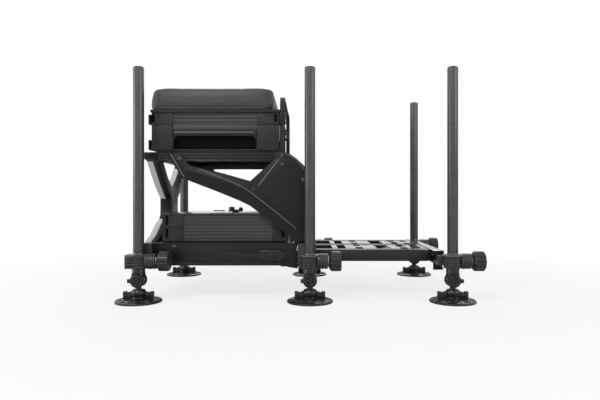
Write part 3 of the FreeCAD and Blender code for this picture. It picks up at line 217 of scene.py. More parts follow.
# A copy of a CAD node with its edges eased, as moulding, deburring or a cutter leaves them
def eased(node, edge, cleared=None):
    piece = merged_copy(node, node + "_finished")
    bpy.ops.mesh.dissolve_limited(angle_limit=math.radians(0.5))
    close_mesh(outwards=False)
    if cleared:
        alone(piece)
        cleared(piece)
    finish_with(piece, "BEVEL", width=edge, segments=2, limit_method="ANGLE", angle_limit=math.radians(40),
                use_clamp_overlap=True)
    return settle(piece, piece.name, 30)


def cut_out(piece, cutters):
    for cutter in cutters:
        finish_with(piece, "BOOLEAN", object=cutter, operation="DIFFERENCE", solver="EXACT")
    remove(*cutters)


# Gives a piece its finish and body, and hides the CAD nodes that it replaces
def belongs(piece, material, body, slot, *nodes):
    piece.data.materials.clear()
    piece.data.materials.append(material)
    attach(piece, body)
    if nodes:
        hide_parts(*nodes)
    return piece


# Finishes. Colours are sRGB hex values as seen on the surface
def colour(code):
    shares = [int(code[start:start + 2], 16) / 255 for start in (0, 2, 4)]
    return [s / 12.92 if s <= 0.04045 else ((s + 0.055) / 1.055) ** 2.4 for s in shares] + [1.0]


def add(tree, kind, inputs=None, **settings):
    node = tree.nodes.new(kind)
    for setting, value in settings.items():
        setattr(node, setting, value)
    for socket, value in (inputs or {}).items():
        if isinstance(value, bpy.types.NodeSocket):
            tree.links.new(value, node.inputs[socket])
        else:
            node.inputs[socket].default_value = value
    return node


def new_finish(name, **shader_values):
    material = bpy.data.materials.new(name)
    material.use_nodes = True
    tree = material.node_tree
    shader = tree.nodes["Principled BSDF"]
    for socket, value in shader_values.items():
        shader.inputs[socket.replace("_", " ")].default_value = value
    place = add(tree, "ShaderNodeTexCoord").outputs["Object"]
    return material, tree, shader, place


# Spacing in metres to a texture's scale
def per(spacing):
    return 1 / spacing


# Colour and roughness wander softly between two values
def mottle(tree, shader, place, low, high, spacing, roughness):
    noise = add(tree, "ShaderNodeTexNoise", {"Vector": place, "Scale": per(spacing), "Detail": 4.0})
    # the colour sockets of a Mix node follow its number sockets
    mix = add(tree, "ShaderNodeMix", {"Factor": noise.outputs["Fac"], 6: colour(low), 7: colour(high)},
              data_type="RGBA")
    tree.links.new(mix.outputs[2], shader.inputs["Base Color"])
    spread = add(tree, "ShaderNodeMapRange", {"Value": noise.outputs["Fac"], "From Min": 0.3, "From Max": 0.7,
                                              "To Min": roughness[0], "To Max": roughness[1]})
    tree.links.new(spread.outputs["Result"], shader.inputs["Roughness"])


def raise_bump(tree, shader, height, strength, distance):
    bump = add(tree, "ShaderNodeBump", {"Height": height, "Strength": strength, "Distance": distance})
    tree.links.new(bump.outputs["Normal"], shader.inputs["Normal"])


# Fine noise as a bump, such as blasted metal or a spark-eroded mould's grain
def raise_grain(tree, shader, place, spacing, detail, strength, distance):
    grain = add(tree, "ShaderNodeTexNoise", {"Vector": place, "Scale": per(spacing), "Detail": detail})
    raise_bump(tree, shader, grain.outputs["Fac"], strength, distance)


# Anodised aluminium, satin, with faint lines along the way it was drawn or extruded
def drawn_metal(name, metallic, shades, spacing, roughness, stretch, lines, strength):
    material, tree, shader, place = new_finish(name, Metallic=metallic)
    mottle(tree, shader, place, shades[0], shades[1], spacing, roughness)
    along = add(tree, "ShaderNodeMapping", {"Vector": place, "Scale": stretch})
    raise_grain(tree, shader, along.outputs["Vector"], lines, 2.0, strength, 0.1 * MM)
    return material


# Anodised aluminium tray wall: ribs come from the shape, the surface is bead blasted and soft
def blasted_tray():
    material, tree, shader, place = new_finish("blasted_tray_wall", Metallic=0.5)
    mottle(tree, shader, place, "3A3A3D", "464649", 40 * MM, (0.4, 0.52))
    raise_grain(tree, shader, place, 0.8 * MM, 3.0, 0.12, 0.1 * MM)
    return material


# Glass-filled nylon, moulded in a spark-eroded tool: fine grain, drawn coarse enough to show
def moulded_nylon(name, low, high, roughness, grain=0.9 * MM, specular=0.3):
    material, tree, shader, place = new_finish(name, Specular_IOR_Level=specular, IOR=1.53)
    mottle(tree, shader, place, low, high, 35 * MM, roughness)
    raise_grain(tree, shader, place, grain, 4.0, 0.25, 0.15 * MM)
    return material


# Corner mouldings: nylon with a small square hatch
def hatched_nylon():
    hatch = 3 * MM
    groove_share = 0.25
    material, tree, shader, place = new_finish("hatched_corner_nylon", Specular_IOR_Level=0.22, IOR=1.53)
    mottle(tree, shader, place, "262628", "323235", 20 * MM, (0.42, 0.56))
    split = add(tree, "ShaderNodeSeparateXYZ", {"Vector": place})
    # in each direction: 1 on the narrow groove between two squares
    grooves = []
    for axis in ("X", "Y", "Z"):
        turns = add(tree, "ShaderNodeMath", {0: split.outputs[axis], 1: per(hatch)}, operation="MULTIPLY")
        share = add(tree, "ShaderNodeMath", {0: turns.outputs[0]}, operation="FRACT")
        groove = add(tree, "ShaderNodeMath", {0: share.outputs[0], 1: groove_share}, operation="LESS_THAN")
        grooves.append(groove.outputs[0])
    first = add(tree, "ShaderNodeMath", {0: grooves[0], 1: grooves[1]}, operation="ADD")
    total = add(tree, "ShaderNodeMath", {0: first.outputs[0], 1: grooves[2]}, operation="ADD")
    height = add(tree, "ShaderNodeMath", {0: 1.0, 1: total.outputs[0]}, operation="SUBTRACT")
    raise_bump(tree, shader, height.outputs[0], 0.25, 0.3 * MM)
    return material


# Gloss powder coat over sheet: it mirrors the pale room at a low angle, with a faint orange peel
def gloss_coat():
    material, tree, shader, place = new_finish("gloss_powder_coat", Coat_Weight=0.6, Coat_Roughness=0.12,
                                               Specular_IOR_Level=0.5)
    mottle(tree, shader, place, "232326", "2B2B2E", 60 * MM, (0.2, 0.3))
    raise_grain(tree, shader, place, 4 * MM, 1.0, 0.08, 0.2 * MM)
    return material


# Zinc plated steel: blackened screw heads, and brighter thread crests, washers and wires
def plated_steel(name, low, high):
    material, tree, shader, place = new_finish(name, Metallic=1.0)
    mottle(tree, shader, place, low, high, 6 * MM, (0.22, 0.38))
    return material


# Coated upholstery fabric: fine pebble grain, broad soft sheen
def coated_cover(name, low, high):
    material, tree, shader, place = new_finish(name, Specular_IOR_Level=0.35, Sheen_Weight=0.12,
                                               Sheen_Roughness=0.5)
    mottle(tree, shader, place, low, high, 70 * MM, (0.46, 0.6))
    pebbles = add(tree, "ShaderNodeTexVoronoi", {"Vector": place, "Scale": per(1.6 * MM)})
    raise_bump(tree, shader, pebbles.outputs["Distance"], 0.3, 0.15 * MM)
    return material


# Polyester webbing: ribs across the band and warp lines along it
def woven_webbing():
    rib_spacing, warp_spacing = 1.5 * MM, 1.2 * MM
    material, tree, shader, place = new_finish("woven_webbing", Specular_IOR_Level=0.2, Sheen_Weight=0.15)
    mottle(tree, shader, place, "2A2B2E", "3C3D40", 8 * MM, (0.6, 0.75))
    split = add(tree, "ShaderNodeSeparateXYZ", {"Vector": place})
    # the band runs up and then across, so height plus width counts along it everywhere
    along = add(tree, "ShaderNodeMath", {0: split.outputs["Y"], 1: split.outputs["Z"]}, operation="ADD")
    waves = []
    for source, spacing in ((along.outputs[0], rib_spacing), (split.outputs["X"], warp_spacing)):
        turn = add(tree, "ShaderNodeMath", {0: source, 1: 2 * math.pi / spacing}, operation="MULTIPLY")
        waves.append(add(tree, "ShaderNodeMath", {0: turn.outputs[0]}, operation="SINE").outputs[0])
    weave = add(tree, "ShaderNodeMath", {0: waves[0], 1: waves[1]}, operation="MULTIPLY")
    raise_bump(tree, shader, weave.outputs[0], 0.5, 0.25 * MM)
    return material


TUBE = drawn_metal("anodised_drawn_tube", 0.75, ("505154", "5E5F62"), 30 * MM, (0.34, 0.46),
                   stretch=(1, 1, 0.02), lines=1 * MM, strength=0.12)
BAR = drawn_metal("anodised_extrusion", 0.6, ("222326", "2D2E31"), 50 * MM, (0.3, 0.42),
                  stretch=(0.02, 1, 1), lines=1.2 * MM, strength=0.15)
TRAY = blasted_tray()
PANEL = moulded_nylon("moulded_panel_nylon", "171719", "1F1F21", (0.36, 0.48), specular=0.22)
# Pale grey, painted as reflection on the rear frame's outer edge faces
PAINTED_REFLECTION = moulded_nylon("painted_reflection_nylon", "CACBCE", "DADBDE", (0.3, 0.42), 2 * MM, 0.5)
CLAMP = moulded_nylon("moulded_clamp_nylon", "303032", "3C3C3F", (0.3, 0.42), specular=0.35)
FOOT = moulded_nylon("moulded_foot_nylon", "171719", "222224", (0.24, 0.36), specular=0.45)
KNOB = moulded_nylon("soft_knob_nylon", "222224", "2E2E31", (0.3, 0.42), specular=0.35)
SMALL = moulded_nylon("small_parts_acetal", "121214", "1A1A1C", (0.24, 0.34), 1.2 * MM, 0.4)
SOLE = moulded_nylon("sole_rubber", "0E0E0F", "151516", (0.65, 0.8), 1.5 * MM, 0.12)
# Pale grey, painted as highlight lines on ridges, beads and a clamp band
HIGHLIGHT_RIDGE = moulded_nylon("painted_highlight_ridge_nylon", "5E5E62", "6C6C70", (0.25, 0.35), 3 * MM, 0.5)
# Near black, painted as shade in the drawer recesses and corner slots
PAINTED_SHADE = moulded_nylon("painted_shade_black_nylon", "08080A", "0E0E10", (0.6, 0.75), 1.5 * MM, 0.08)
CORNER = hatched_nylon()
GLOSS = gloss_coat()
STEEL = plated_steel("blackened_steel", "4A4A4C", "66666A")
THREAD = plated_steel("bright_thread_steel", "A8A8AA", "C4C4C6")
COVER = coated_cover("coated_seat_cover", "3C3C3F", "464649")
WELT = coated_cover("coated_welt", "545457", "606063")
WEBBING = woven_webbing()
SLOT_FINISH = {
    "leg_metal": TUBE, "satin_black_metal": BAR, "moulded_frame": PANEL, "tray_extrusion": TRAY,
    "corner_plastic": CORNER, "gloss_panel": GLOSS, "small_plastic": SMALL, "foot_plastic": FOOT,
    "knob_plastic": KNOB, "dark_steel": STEEL, "seat_cover": COVER, "strap_webbing": WEBBING,
}


def middle(node):
    low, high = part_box(node)
    return (low + high) / 2


# CAD nodes that stay as they are take their slot's finish
for node, item in frame["nodes"].items():
    item.data.materials.clear()
    item.data.materials.append(SLOT_FINISH[SLOT_OF[node]])


# Moulded and machined shells, with the width of their eased edges in millimetres
EASED_NODES = {
    "side_panel_right": 1.6, "side_panel_left": 1.6, "rear_cross_frame": 2.2, "chassis_rails": 1.6,
    "chassis_beams": 0.8, "seat_frame": 0.7, "lower_tray": 0.5, "middle_tray": 0.5, "upper_tray": 0.5,
    "drawer_casing": 0.8, "drawer_right": 0.9, "drawer_left": 0.9, "seat_board": 1.2, "cassette_lid": 0.8,
    "footplate_deck": 0.6, "footplate_front_beam": 0.9, "footplate_rails": 0.9,
    "chassis_leg_clamps": 0.9, "footplate_leg_clamps": 0.9,
}
for place in PLACES:
    EASED_NODES["leg_tube_" + place] = 0.6
    EASED_NODES["foot_knuckle_" + place] = 0.5


# The rear frame's edges are split half way through its thickness, for a pale painted reflection on the outer
# half
FRAME_LOW, FRAME_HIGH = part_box("rear_cross_frame")
FRAME_MIDDLE_X = (FRAME_LOW.x + FRAME_HIGH.x) / 2


def split_back(piece):
    open_mesh(piece)
    bpy.ops.mesh.select_all(action="SELECT")
    bpy.ops.mesh.bisect(plane_co=(FRAME_MIDDLE_X, 0, 0), plane_no=(1, 0, 0))
    close_mesh(outwards=False)


# faces of the outer half, in an upper and a lower band, that take the pale painted reflection
def on_painted_reflection(centre, normal):
    share = (centre.z - FRAME_LOW.z) / (FRAME_HIGH.z - FRAME_LOW.z)
    upper = 0.52 < share < 0.88
    lower = share < 0.3 and centre.y * normal.y > 0
    return centre.x < FRAME_MIDDLE_X and abs(normal.x) < 0.3 and (upper or lower)


# The gussets below the front beam are cut to wedges that slope down towards the front
def sloped_gussets(piece):
    low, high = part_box("footplate_front_beam")
    inner, outer = 188 * MM, 198 * MM
    bottom, shelf = low.z + 3.4 * MM, low.z + 20.4 * MM
    rear_rise = 16.4 * MM
    cutters = []
    for side_name, side in SIDES:
        ends = sorted((side * inner, side * outer))
        cutter = block("gusset_cutter", (high.x - 18 * MM, ends[0], bottom),
                       (high.x + 12 * MM, ends[1], shelf), 0.1 * MM, 1)
        move_points(cutter, lambda point: point.x < high.x - 10 * MM and point.z < low.z + 10 * MM,
                    (0, 0, rear_rise))
        cutters.append(cutter)
    cut_out(piece, cutters)


CLEARING = {"rear_cross_frame": split_back, "footplate_front_beam": sloped_gussets}
OTHER_FINISH = {"chassis_leg_clamps": CLAMP, "footplate_leg_clamps": CLAMP}
for node, edge in EASED_NODES.items():
    piece = eased(node, edge * MM, cleared=CLEARING.get(node))
    finish = OTHER_FINISH.get(node, SLOT_FINISH[SLOT_OF[node]])
    belongs(piece, finish, BODY_OF[node], SLOT_OF[node], node)


# A second finish on the faces of a piece that pass a test
def refinish(piece, finish, test):
    piece.data.materials.append(finish)
    number = len(piece.data.materials) - 1
    for face in piece.data.polygons:
        if test(face.center, face.normal):
            face.material_index = number


LIP_BOTTOM = 473.8 * MM


# Recessed drawer fronts are painted matt black as shade, behind a fascia with round upper corners
def drawer_front(node, side):
    low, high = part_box(node)
    face = high.y if side > 0 else -low.y
    recess_depth = 2 * MM
    # the faces deeper than the fascia are painted black as shade
    refinish(bpy.data.objects[node + "_finished"], PAINTED_SHADE,
             lambda centre, normal: abs(centre.y) < face - recess_depth)
    plate = block("fascia", (low.x, side * (face - 3 * MM), low.z),
                  (high.x, side * (face - 0.6 * MM), LIP_BOTTOM), 0.4 * MM, 1)
    rim, top_rim = 2.5 * MM, 2 * MM
    past = 40 * MM
    corner_radius = 13 * MM
    cutter = block("fascia_cutter", (low.x + rim, side * (face - past), low.z - past),
                   (high.x - rim, side * (face + past), LIP_BOTTOM - top_rim), corner_radius, 6)
    cut_out(plate, [cutter])
    settle(plate, node + "_fascia")
    belongs(plate, PANEL, node, SLOT_OF[node])
    start, end = low.x + 5 * MM, high.x - 8 * MM
    steps = 6
    line = [(start + (end - start) * step / steps, side * (face - 0.4 * MM), LIP_BOTTOM + 8 * MM)
            for step in range(steps + 1)]
    # the lip bead is painted pale as a highlight line
    belongs(bead(node + "_lip_bead", line, 1.7 * MM), HIGHLIGHT_RIDGE, node, SLOT_OF[node])


# the rear frame's outer edge faces are painted pale as reflection
refinish(bpy.data.objects["rear_cross_frame_finished"], PAINTED_REFLECTION, on_painted_reflection)
SOCKET_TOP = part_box("chassis_leg_clamps")[0].z
TUBE_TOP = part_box("leg_tube_rear_right")[1].z - 3.4 * MM
for place in PLACES:
    leg = bpy.data.objects["leg_tube_%s_finished" % place]
    refinish(leg, FOOT, lambda centre, normal: centre.z < SOCKET_TOP)
    refinish(leg, PANEL, lambda centre, normal: centre.z > TUBE_TOP)
for side_name, side in SIDES:
    drawer_front("drawer_" + side_name, side)
DECK_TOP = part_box("footplate_deck")[1].z
refinish(bpy.data.objects["footplate_front_beam_finished"], GLOSS,
         lambda centre, normal: centre.z > DECK_TOP - 9 * MM and normal.z > 0.9)


# Ridges moulded on the side panels: lines of (x, z) and the bead's radius, in millimetres.
# The arm's runs down to the front corner, and the brow's lies below the seat rail
PANEL_RIDGES = {
    "arm": (((-318, 386), (-290, 374), (-240, 355), (-190, 335), (-152, 316), (-128, 297), (-90, 268),
             (-50, 236), (-12, 204)), 1.5),
    "brow": (((-60, 402), (-75, 383), (-92, 361), (-106, 343), (-118, 326)), 2.2),
    "heel": (((-372, 418), (-362, 401), (-352, 384), (-343, 368), (-333, 352)), 1.7),
    "crown": (((-42, 420), (-29, 412), (-10, 398), (8, 380), (27, 352)), 1.6),
}


# Each line is laid on the panel's outer face, found by looking at it from the side
def panel_ridges(node, side):
    panel = bpy.data.objects[node + "_finished"]
    outside = 0.3
    for name, (line, radius) in PANEL_RIDGES.items():
        points = []
        for x, z in line:
            start = Vector((x * MM, side * outside, z * MM))
            hit, place, normal, face = panel.ray_cast(start, Vector((0, -side, 0)))
            if hit:
                points.append(place)
        if len(points) > 4:
            ridge = bead("%s_%s_ridge" % (node, name), points, radius * MM)
            # the moulded ridges are painted pale as highlight lines
            belongs(ridge, HIGHLIGHT_RIDGE, "chassis", "moulded_frame")


for side_name, side in SIDES:
    panel_ridges("side_panel_" + side_name, side)


# Corner mouldings: upright slots near each corner for the next box's clips, painted black inside as shade
def corner_slots(node, levels, insets):
    low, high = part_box(node)
    places = (low.x + insets[0], high.x - insets[1])
    half_width = 4.3 * MM
    depth = 2.2 * MM
    edge = 0.4 * MM
    margin = 0.5 * MM

    def cleared(piece):
        cutters = []
        for bottom, top in levels:
            for x in places:
                for face in (low.y, high.y):
                    cutters.append(block("slot_cutter", (x - half_width, face - depth, bottom),
                                         (x + half_width, face + depth, top), edge, 1))
        cut_out(piece, [join("slot_cutters", cutters)])

    def painted_shade_in_slot(centre, normal):
        beside = any(abs(centre.x - x) < half_width + margin for x in places)
        between = any(bottom - margin < centre.z < top + margin for bottom, top in levels)
        return beside and between and abs(centre.y) < high.y - edge

    piece = belongs(eased(node, 0.7 * MM, cleared=cleared), CORNER, BODY_OF[node], SLOT_OF[node], node)
    # the slot faces are painted black as shade
    refinish(piece, PAINTED_SHADE, painted_shade_in_slot)


CASSETTE_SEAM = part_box("lower_tray")[1].z
UNIT_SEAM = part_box("upper_tray")[0].z
corner_slots("cassette_corners", [(CASSETTE_SEAM - 31 * MM, CASSETTE_SEAM - 4 * MM),
                                  (CASSETTE_SEAM + 6 * MM, CASSETTE_SEAM + 34 * MM)], (14 * MM, 14 * MM))
corner_slots("seat_unit_corners", [(UNIT_SEAM + 8 * MM, UNIT_SEAM + 31 * MM)], (13.5 * MM, 18 * MM))


# Clamp knob on +X: a lobed grip, chamfered towards the collar, with a dished cap
def knob_model(length, radius):
    lobes = 12
    flute_share = 0.93
    chamfer = 7 * MM
    steps = [(radius * 0.66, 0), (radius * 0.72, 0.6 * MM), (radius, chamfer), (radius, length - 3 * MM),
             (radius * 0.94, length - 0.8 * MM), (radius * 0.9, length), (radius * 0.62, length),
             (radius * 0.58, length - 1.6 * MM), (radius * 0.3, length - 2 * MM),
             (radius * 0.26, length - 1.2 * MM), (radius * 0.1, length - 0.8 * MM)]
    grip = turned("grip_model", steps, 96)
    open_mesh(grip, "VERT")

    def in_flute(point):
        turn = math.atan2(point.y, point.x) / (2 * math.pi) * lobes
        outer = math.hypot(point.x, point.y) > radius * flute_share
        return outer and abs(turn - round(turn)) < 0.2

    pick_points(grip, in_flute)
    bpy.ops.transform.resize(value=(flute_share, flute_share, 1), center_override=(0, 0, 0))
    close_mesh()
    return settle(grip, "grip_model", 28)


def shank_thread(length, radius, start):
    rings = []
    pitch = 1.5 * MM
    for number in range(int(length / pitch)):
        rings.append(ring("crest_%d" % number, (0, 0, start + pitch * (number + 0.5)), radius, 0.6 * MM, "Z"))
    return join("thread_model", rings)


knob_low, knob_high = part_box("clamp_knob_rear_right")
COLLAR_REACH = 50 * MM
KNOB_GAP = 3 * MM
SHANK_RADIUS = 8 * MM
knob_radius = (knob_high.y - knob_low.y) / 2
knob_reach = knob_high.x - middle("foot_pad_rear_right").x
knob_length = knob_reach - COLLAR_REACH - KNOB_GAP
ALONG_X = Matrix.Rotation(math.pi / 2, 4, "Y")
ALONG_Y = Matrix.Rotation(-math.pi / 2, 4, "X")
knob_shape = knob_model(knob_length, knob_radius)
shank_shape = turned("shank_model", [(SHANK_RADIUS * 0.92, -34 * MM), (SHANK_RADIUS, -33 * MM),
                                     (SHANK_RADIUS, 2 * MM)], 48)
thread_shape = join("thread_model", [
    shank_thread(KNOB_GAP * 2, SHANK_RADIUS, -KNOB_GAP * 1.5),
    turned("washer_model", [(14 * MM, -KNOB_GAP + 0.3 * MM), (15.5 * MM, -KNOB_GAP + 0.8 * MM),
                            (15.5 * MM, -0.8 * MM), (14 * MM, -0.3 * MM)], 48)])
for place in PLACES:
    node = "clamp_knob_" + place
    at = Vector((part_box(node)[1].x - knob_length, middle(node).y, middle(node).z))
    move = Matrix.Translation(at) @ ALONG_X
    grip = copy_to(knob_shape, node + "_grip", move)
    belongs(grip, KNOB, "knob_" + place, "knob_plastic", node)
    shank = copy_to(shank_shape, node + "_shank", move)
    belongs(shank, STEEL, "knob_" + place, "dark_steel")
    thread = copy_to(thread_shape, node + "_thread", move)
    belongs(thread, THREAD, "knob_" + place, "dark_steel")
remove(knob_shape, shank_shape, thread_shape)


# Clamp bands, in millimetres: (place along the collar, radius), and (height, radius) on the body
COLLAR_BANDS = ((29, 21.2), (36, 21.2), (44, 21.0))
BODY_BANDS = ((-15, 24.6), (-7, 24.6), (1, 24.6), (9, 24.6), (16.5, 27.2))


# The rear clamps have a square heel that the bands run along, and then round the leg
def heel_line(leg, level):
    reach = 31 * MM
    flat = 24.6 * MM
    steps = 12
    line = [(leg.x - reach, leg.y - flat, level), (leg.x - reach * 0.5, leg.y - flat, level)]
    for step in range(steps + 1):
        turn = math.pi * (step / steps - 0.5)
        line.append((leg.x + flat * math.cos(turn), leg.y + flat * math.sin(turn), level))
    return line + [(leg.x - reach * 0.5, leg.y + flat, level), (leg.x - reach, leg.y + flat, level)]


def clamp_bands(place, body):
    leg = middle("foot_pad_" + place)
    axis_z = middle("clamp_knob_" + place).z
    collar_rib, body_rib = 1.3 * MM, 1.5 * MM
    pieces = []
    for offset, radius in COLLAR_BANDS:
        pieces.append(ring("band", (leg.x + offset * MM, leg.y, axis_z), radius * MM, collar_rib, "X"))
    for rise, radius in BODY_BANDS:
        level = axis_z + rise * MM
        if place.startswith("rear"):
            pieces.append(bead("band", heel_line(leg, level), body_rib))
        else:
            pieces.append(ring("band", (leg.x, leg.y, level), radius * MM, body_rib, "Z"))
    bands = belongs(join("clamp_bands_" + place, pieces), CLAMP, body, "moulded_frame")
    # the top band is painted pale as a highlight, but not the collar's bands beside it
    top, reach = axis_z + 14.5 * MM, 28 * MM
    refinish(bands, HIGHLIGHT_RIDGE, lambda centre, normal: centre.z > top and abs(centre.x - leg.x) < reach)


for place in PLACES:
    clamp_bands(place, "footplate" if place.startswith("front") else "chassis")


# Foot pad: domed disc with sunk panels, a ball cup, two lugs with cross pins and two low ribs
def pad_model(radius, height):
    cup = 20.5 * MM
    steps = [(radius - 2.5 * MM, 0), (radius - 0.6 * MM, 0), (radius, 0.8 * MM), (radius, 4.2 * MM),
             (radius - 1.2 * MM, 5.6 * MM), (radius - 4 * MM, 6.6 * MM), (radius - 8 * MM, 7.4 * MM),
             (radius - 14 * MM, 8.4 * MM), (radius - 20 * MM, 9.2 * MM), (radius - 27 * MM, 9.8 * MM),
             (radius - 36 * MM, 10.2 * MM), (cup + 3 * MM, 10.8 * MM), (cup - 2.6 * MM, 11.8 * MM),
             (cup - 3.2 * MM, 13.5 * MM), (cup - 1.2 * MM, 19 * MM), (cup, 24.5 * MM), (cup, 28 * MM),
             (cup - 1.2 * MM, 31.5 * MM), (cup - 3.4 * MM, 34.3 * MM), (cup - 5.6 * MM, height),
             (11.6 * MM, height), (11.3 * MM, height - 1 * MM), (12.2 * MM, 30 * MM), (12.3 * MM, 27 * MM),
             (11.4 * MM, 22.4 * MM), (8.4 * MM, 18 * MM), (3 * MM, 15.1 * MM)]
    disc = turned("disc_model", steps, 96)
    panels = 12
    open_mesh(disc)

    def in_panel(centre, normal):
        reach = math.hypot(centre.x, centre.y)
        turn = math.atan2(centre.y, centre.x) / (2 * math.pi) * panels
        on_rim = radius - 21 * MM < reach < radius - 3 * MM
        return on_rim and normal.z > 0.5 and abs(turn - round(turn)) < 0.37

    pick_faces(disc, in_panel)
    bpy.ops.mesh.inset(thickness=1.1 * MM, depth=-2 * MM)
    close_mesh(outwards=False)
    pieces = [disc]
    reach = 43 * MM
    for number in range(4):
        turn = Matrix.Rotation(math.pi / 2 * number, 4, "Z")
        if number % 2:
            # the pair across the seat box is a low rib at the cup's foot
            rib = block("rib", (12 * MM, -4.5 * MM, 6 * MM), (reach - 4 * MM, 4.5 * MM, 13 * MM), 2 * MM, 3)
            rib.data.transform(turn)
            pieces.append(rib)
            continue
        lug = block("lug", (reach - 11 * MM, -6.5 * MM, 4 * MM), (reach, 6.5 * MM, 30 * MM), 2.4 * MM, 3)
        web = block("web", (14 * MM, -5 * MM, 8 * MM), (reach - 6 * MM, 5 * MM, 25 * MM), 1 * MM)
        move_points(web, lambda point: point.x < 25 * MM and point.z > 12 * MM, (0, 0, 7 * MM))
        pin = turned("pin", [(2.2 * MM, -8 * MM), (2.8 * MM, -7.5 * MM), (2.8 * MM, 7.5 * MM),
                             (2.2 * MM, 8 * MM)], 24)
        pin.data.transform(Matrix.Translation((reach - 5.5 * MM, 0, 23 * MM)) @ ALONG_Y)
        for piece in (lug, web, pin):
            piece.data.transform(turn)
            pieces.append(piece)
    return settle(join("pad_model", pieces), "pad_model", 26)


pad_low, pad_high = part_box("foot_pad_rear_right")
pad_shape = pad_model((pad_high.x - pad_low.x) / 2, pad_high.z - pad_low.z)
for place in PLACES:
    node = "foot_pad_" + place
    at = middle(node)
    at.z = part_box(node)[0].z
    pad = copy_to(pad_shape, node + "_moulded", Matrix.Translation(at))
    belongs(pad, FOOT, "pad_" + place, "foot_plastic", node)
    refinish(pad, SOLE, lambda centre, normal: centre.z < 1.2 * MM)
remove(pad_shape)


# Cam lever on the knuckle's bolt: a ring, its hub with a round socket, spokes and a thumb tab towards -X
def lever_model(thickness, length):
    half = thickness / 2
    outer = ring("lever_ring", (0, 0, 0), 12.6 * MM, 2.9 * MM, "Y", 64)
    hub = turned("lever_hub", [(6.6 * MM, -half), (7.4 * MM, -half + 0.8 * MM), (7.4 * MM, half - 0.8 * MM),
                               (6.6 * MM, half), (3.4 * MM, half), (3.2 * MM, half - 2.2 * MM)], 48)
    hub.data.transform(Matrix.Rotation(math.pi / 2, 4, "X"))
    pieces = [outer, hub]
    tab_half = 6.4 * MM
    for angle in (60, 180, 300):
        spoke = block("spoke", (5 * MM, -half * 0.7, -2 * MM), (12 * MM, half * 0.5, 2 * MM), 0.7 * MM)
        spoke.data.transform(Matrix.Rotation(math.radians(angle), 4, "Y"))
        pieces.append(spoke)
    tab = block("tab", (-length, -half, -tab_half), (-13 * MM, half, tab_half), 1.8 * MM, 3)
    open_mesh(tab, "VERT")
    pick_points(tab, lambda point: point.x < -length + 4 * MM)
    bpy.ops.transform.resize(value=(1, 1, 0.85), center_override=(-length, 0, 0))
    close_mesh()
    pieces.append(tab)
    return settle(join("lever_model", pieces), "lever_model", 40)


lever_low, lever_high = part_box("foot_lever_rear_right")
LEVER_LENGTH = 26 * MM
lever_shape = lever_model(lever_high.y - lever_low.y, LEVER_LENGTH)
for place in PLACES:
    node = "foot_lever_" + place
    at = Vector((middle("foot_pad_" + place).x, middle(node).y, middle(node).z))
    turn = Matrix.Identity(4)
    if place.startswith("front"):
        turn = Matrix.Scale(-1, 4, (1, 0, 0)) @ turn
    if place.endswith("left"):
        turn = Matrix.Scale(-1, 4, (0, 1, 0)) @ turn
    lever = copy_to(lever_shape, node + "_cam", Matrix.Translation(at) @ turn)
    belongs(lever, KNOB, "lever_" + place, "knob_plastic", node)
remove(lever_shape)


# Screw: a domed head with a hex socket
def screw_model(radius, height):
    head = turned("screw_model", [(radius, 0), (radius, height * 0.5), (radius * 0.92, height * 0.8),
                                  (radius * 0.72, height), (radius * 0.5, height)], 40)
    alone()
    bpy.ops.mesh.primitive_cylinder_add(vertices=6, radius=radius * 0.42, depth=height,
                                        location=(0, 0, height))
    cut_out(head, [settle(bpy.context.object, "hex_cutter")])
    return settle(head, "screw_model", 26)


# Centres of the separate solids of a node, found from its loose parts
def loose_centres(node):
    merged_copy(node, "loose")
    bpy.ops.mesh.separate(type="LOOSE")
    bpy.ops.object.mode_set(mode="OBJECT")
    parts = list(bpy.context.selected_objects)
    centres = []
    for part in parts:
        corners = [Vector(corner) for corner in part.bound_box]
        centres.append(sum(corners, Vector()) / len(corners))
    remove(*parts)
    return sorted(centres, key=lambda centre: (round(centre.y, 4), round(centre.x, 4)))


SCREW_RADIUS = 5.5 * MM
SCREW_HEIGHT = 3.5 * MM
screw_shape = screw_model(SCREW_RADIUS, SCREW_HEIGHT)


def screws_at(name, centres, body, *nodes):
    heads = []
    for number, centre in enumerate(centres):
        side = -1 if centre.y < 0 else 1
        turn = Matrix.Rotation(-math.pi / 2 * side, 4, "X")
        at = Vector((centre.x, centre.y - side * SCREW_HEIGHT / 2, centre.z))
        heads.append(copy_to(screw_shape, "%s_%d" % (name, number), Matrix.Translation(at) @ turn))
    return belongs(join(name, heads), STEEL, body, "dark_steel", *nodes)


screws_at("panel_screws", loose_centres("frame_screws"), "chassis", "frame_screws")
rail_low, rail_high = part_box("chassis_rails")
RAIL_SCREW_X = -363 * MM
RAIL_SCREW_Z = 150 * MM
screws_at("rail_screws", [Vector((RAIL_SCREW_X, side, RAIL_SCREW_Z)) for side in (rail_low.y, rail_high.y)],
          "chassis")


# Oval lock: stretched disc with a stepped rim, a hub and a lobed boss
def lock_model(length, height, thickness):
    radius = height / 2
    shift = length / 2 - radius
    plate = turned("lock_plate", [(radius, 0), (radius, 7 * MM), (radius - 1 * MM, 9 * MM),
                                  (radius - 2.4 * MM, 9.8 * MM), (radius - 5 * MM, 9.8 * MM),
                                  (radius - 5.8 * MM, 8.6 * MM)], 64)
    open_mesh(plate, "VERT")
    for way in (-1, 1):
        pick_points(plate, lambda point: point.x * way > 0.1 * MM)
        bpy.ops.transform.translate(value=(shift * way, 0, 0))
    close_mesh()
    hub = turned("lock_hub", [(13 * MM, 4 * MM), (13 * MM, 12 * MM), (12 * MM, 13.4 * MM),
                              (10.6 * MM, thickness), (6.4 * MM, thickness),
                              (5.8 * MM, thickness - 2.4 * MM)], 64)
    boss = turned("lock_boss", [(3.6 * MM, 10 * MM), (3.6 * MM, thickness - 0.6 * MM),
                                (2.8 * MM, thickness)], 6)
    return settle(join("lock_model", [plate, hub, boss]), "lock_model", 26)


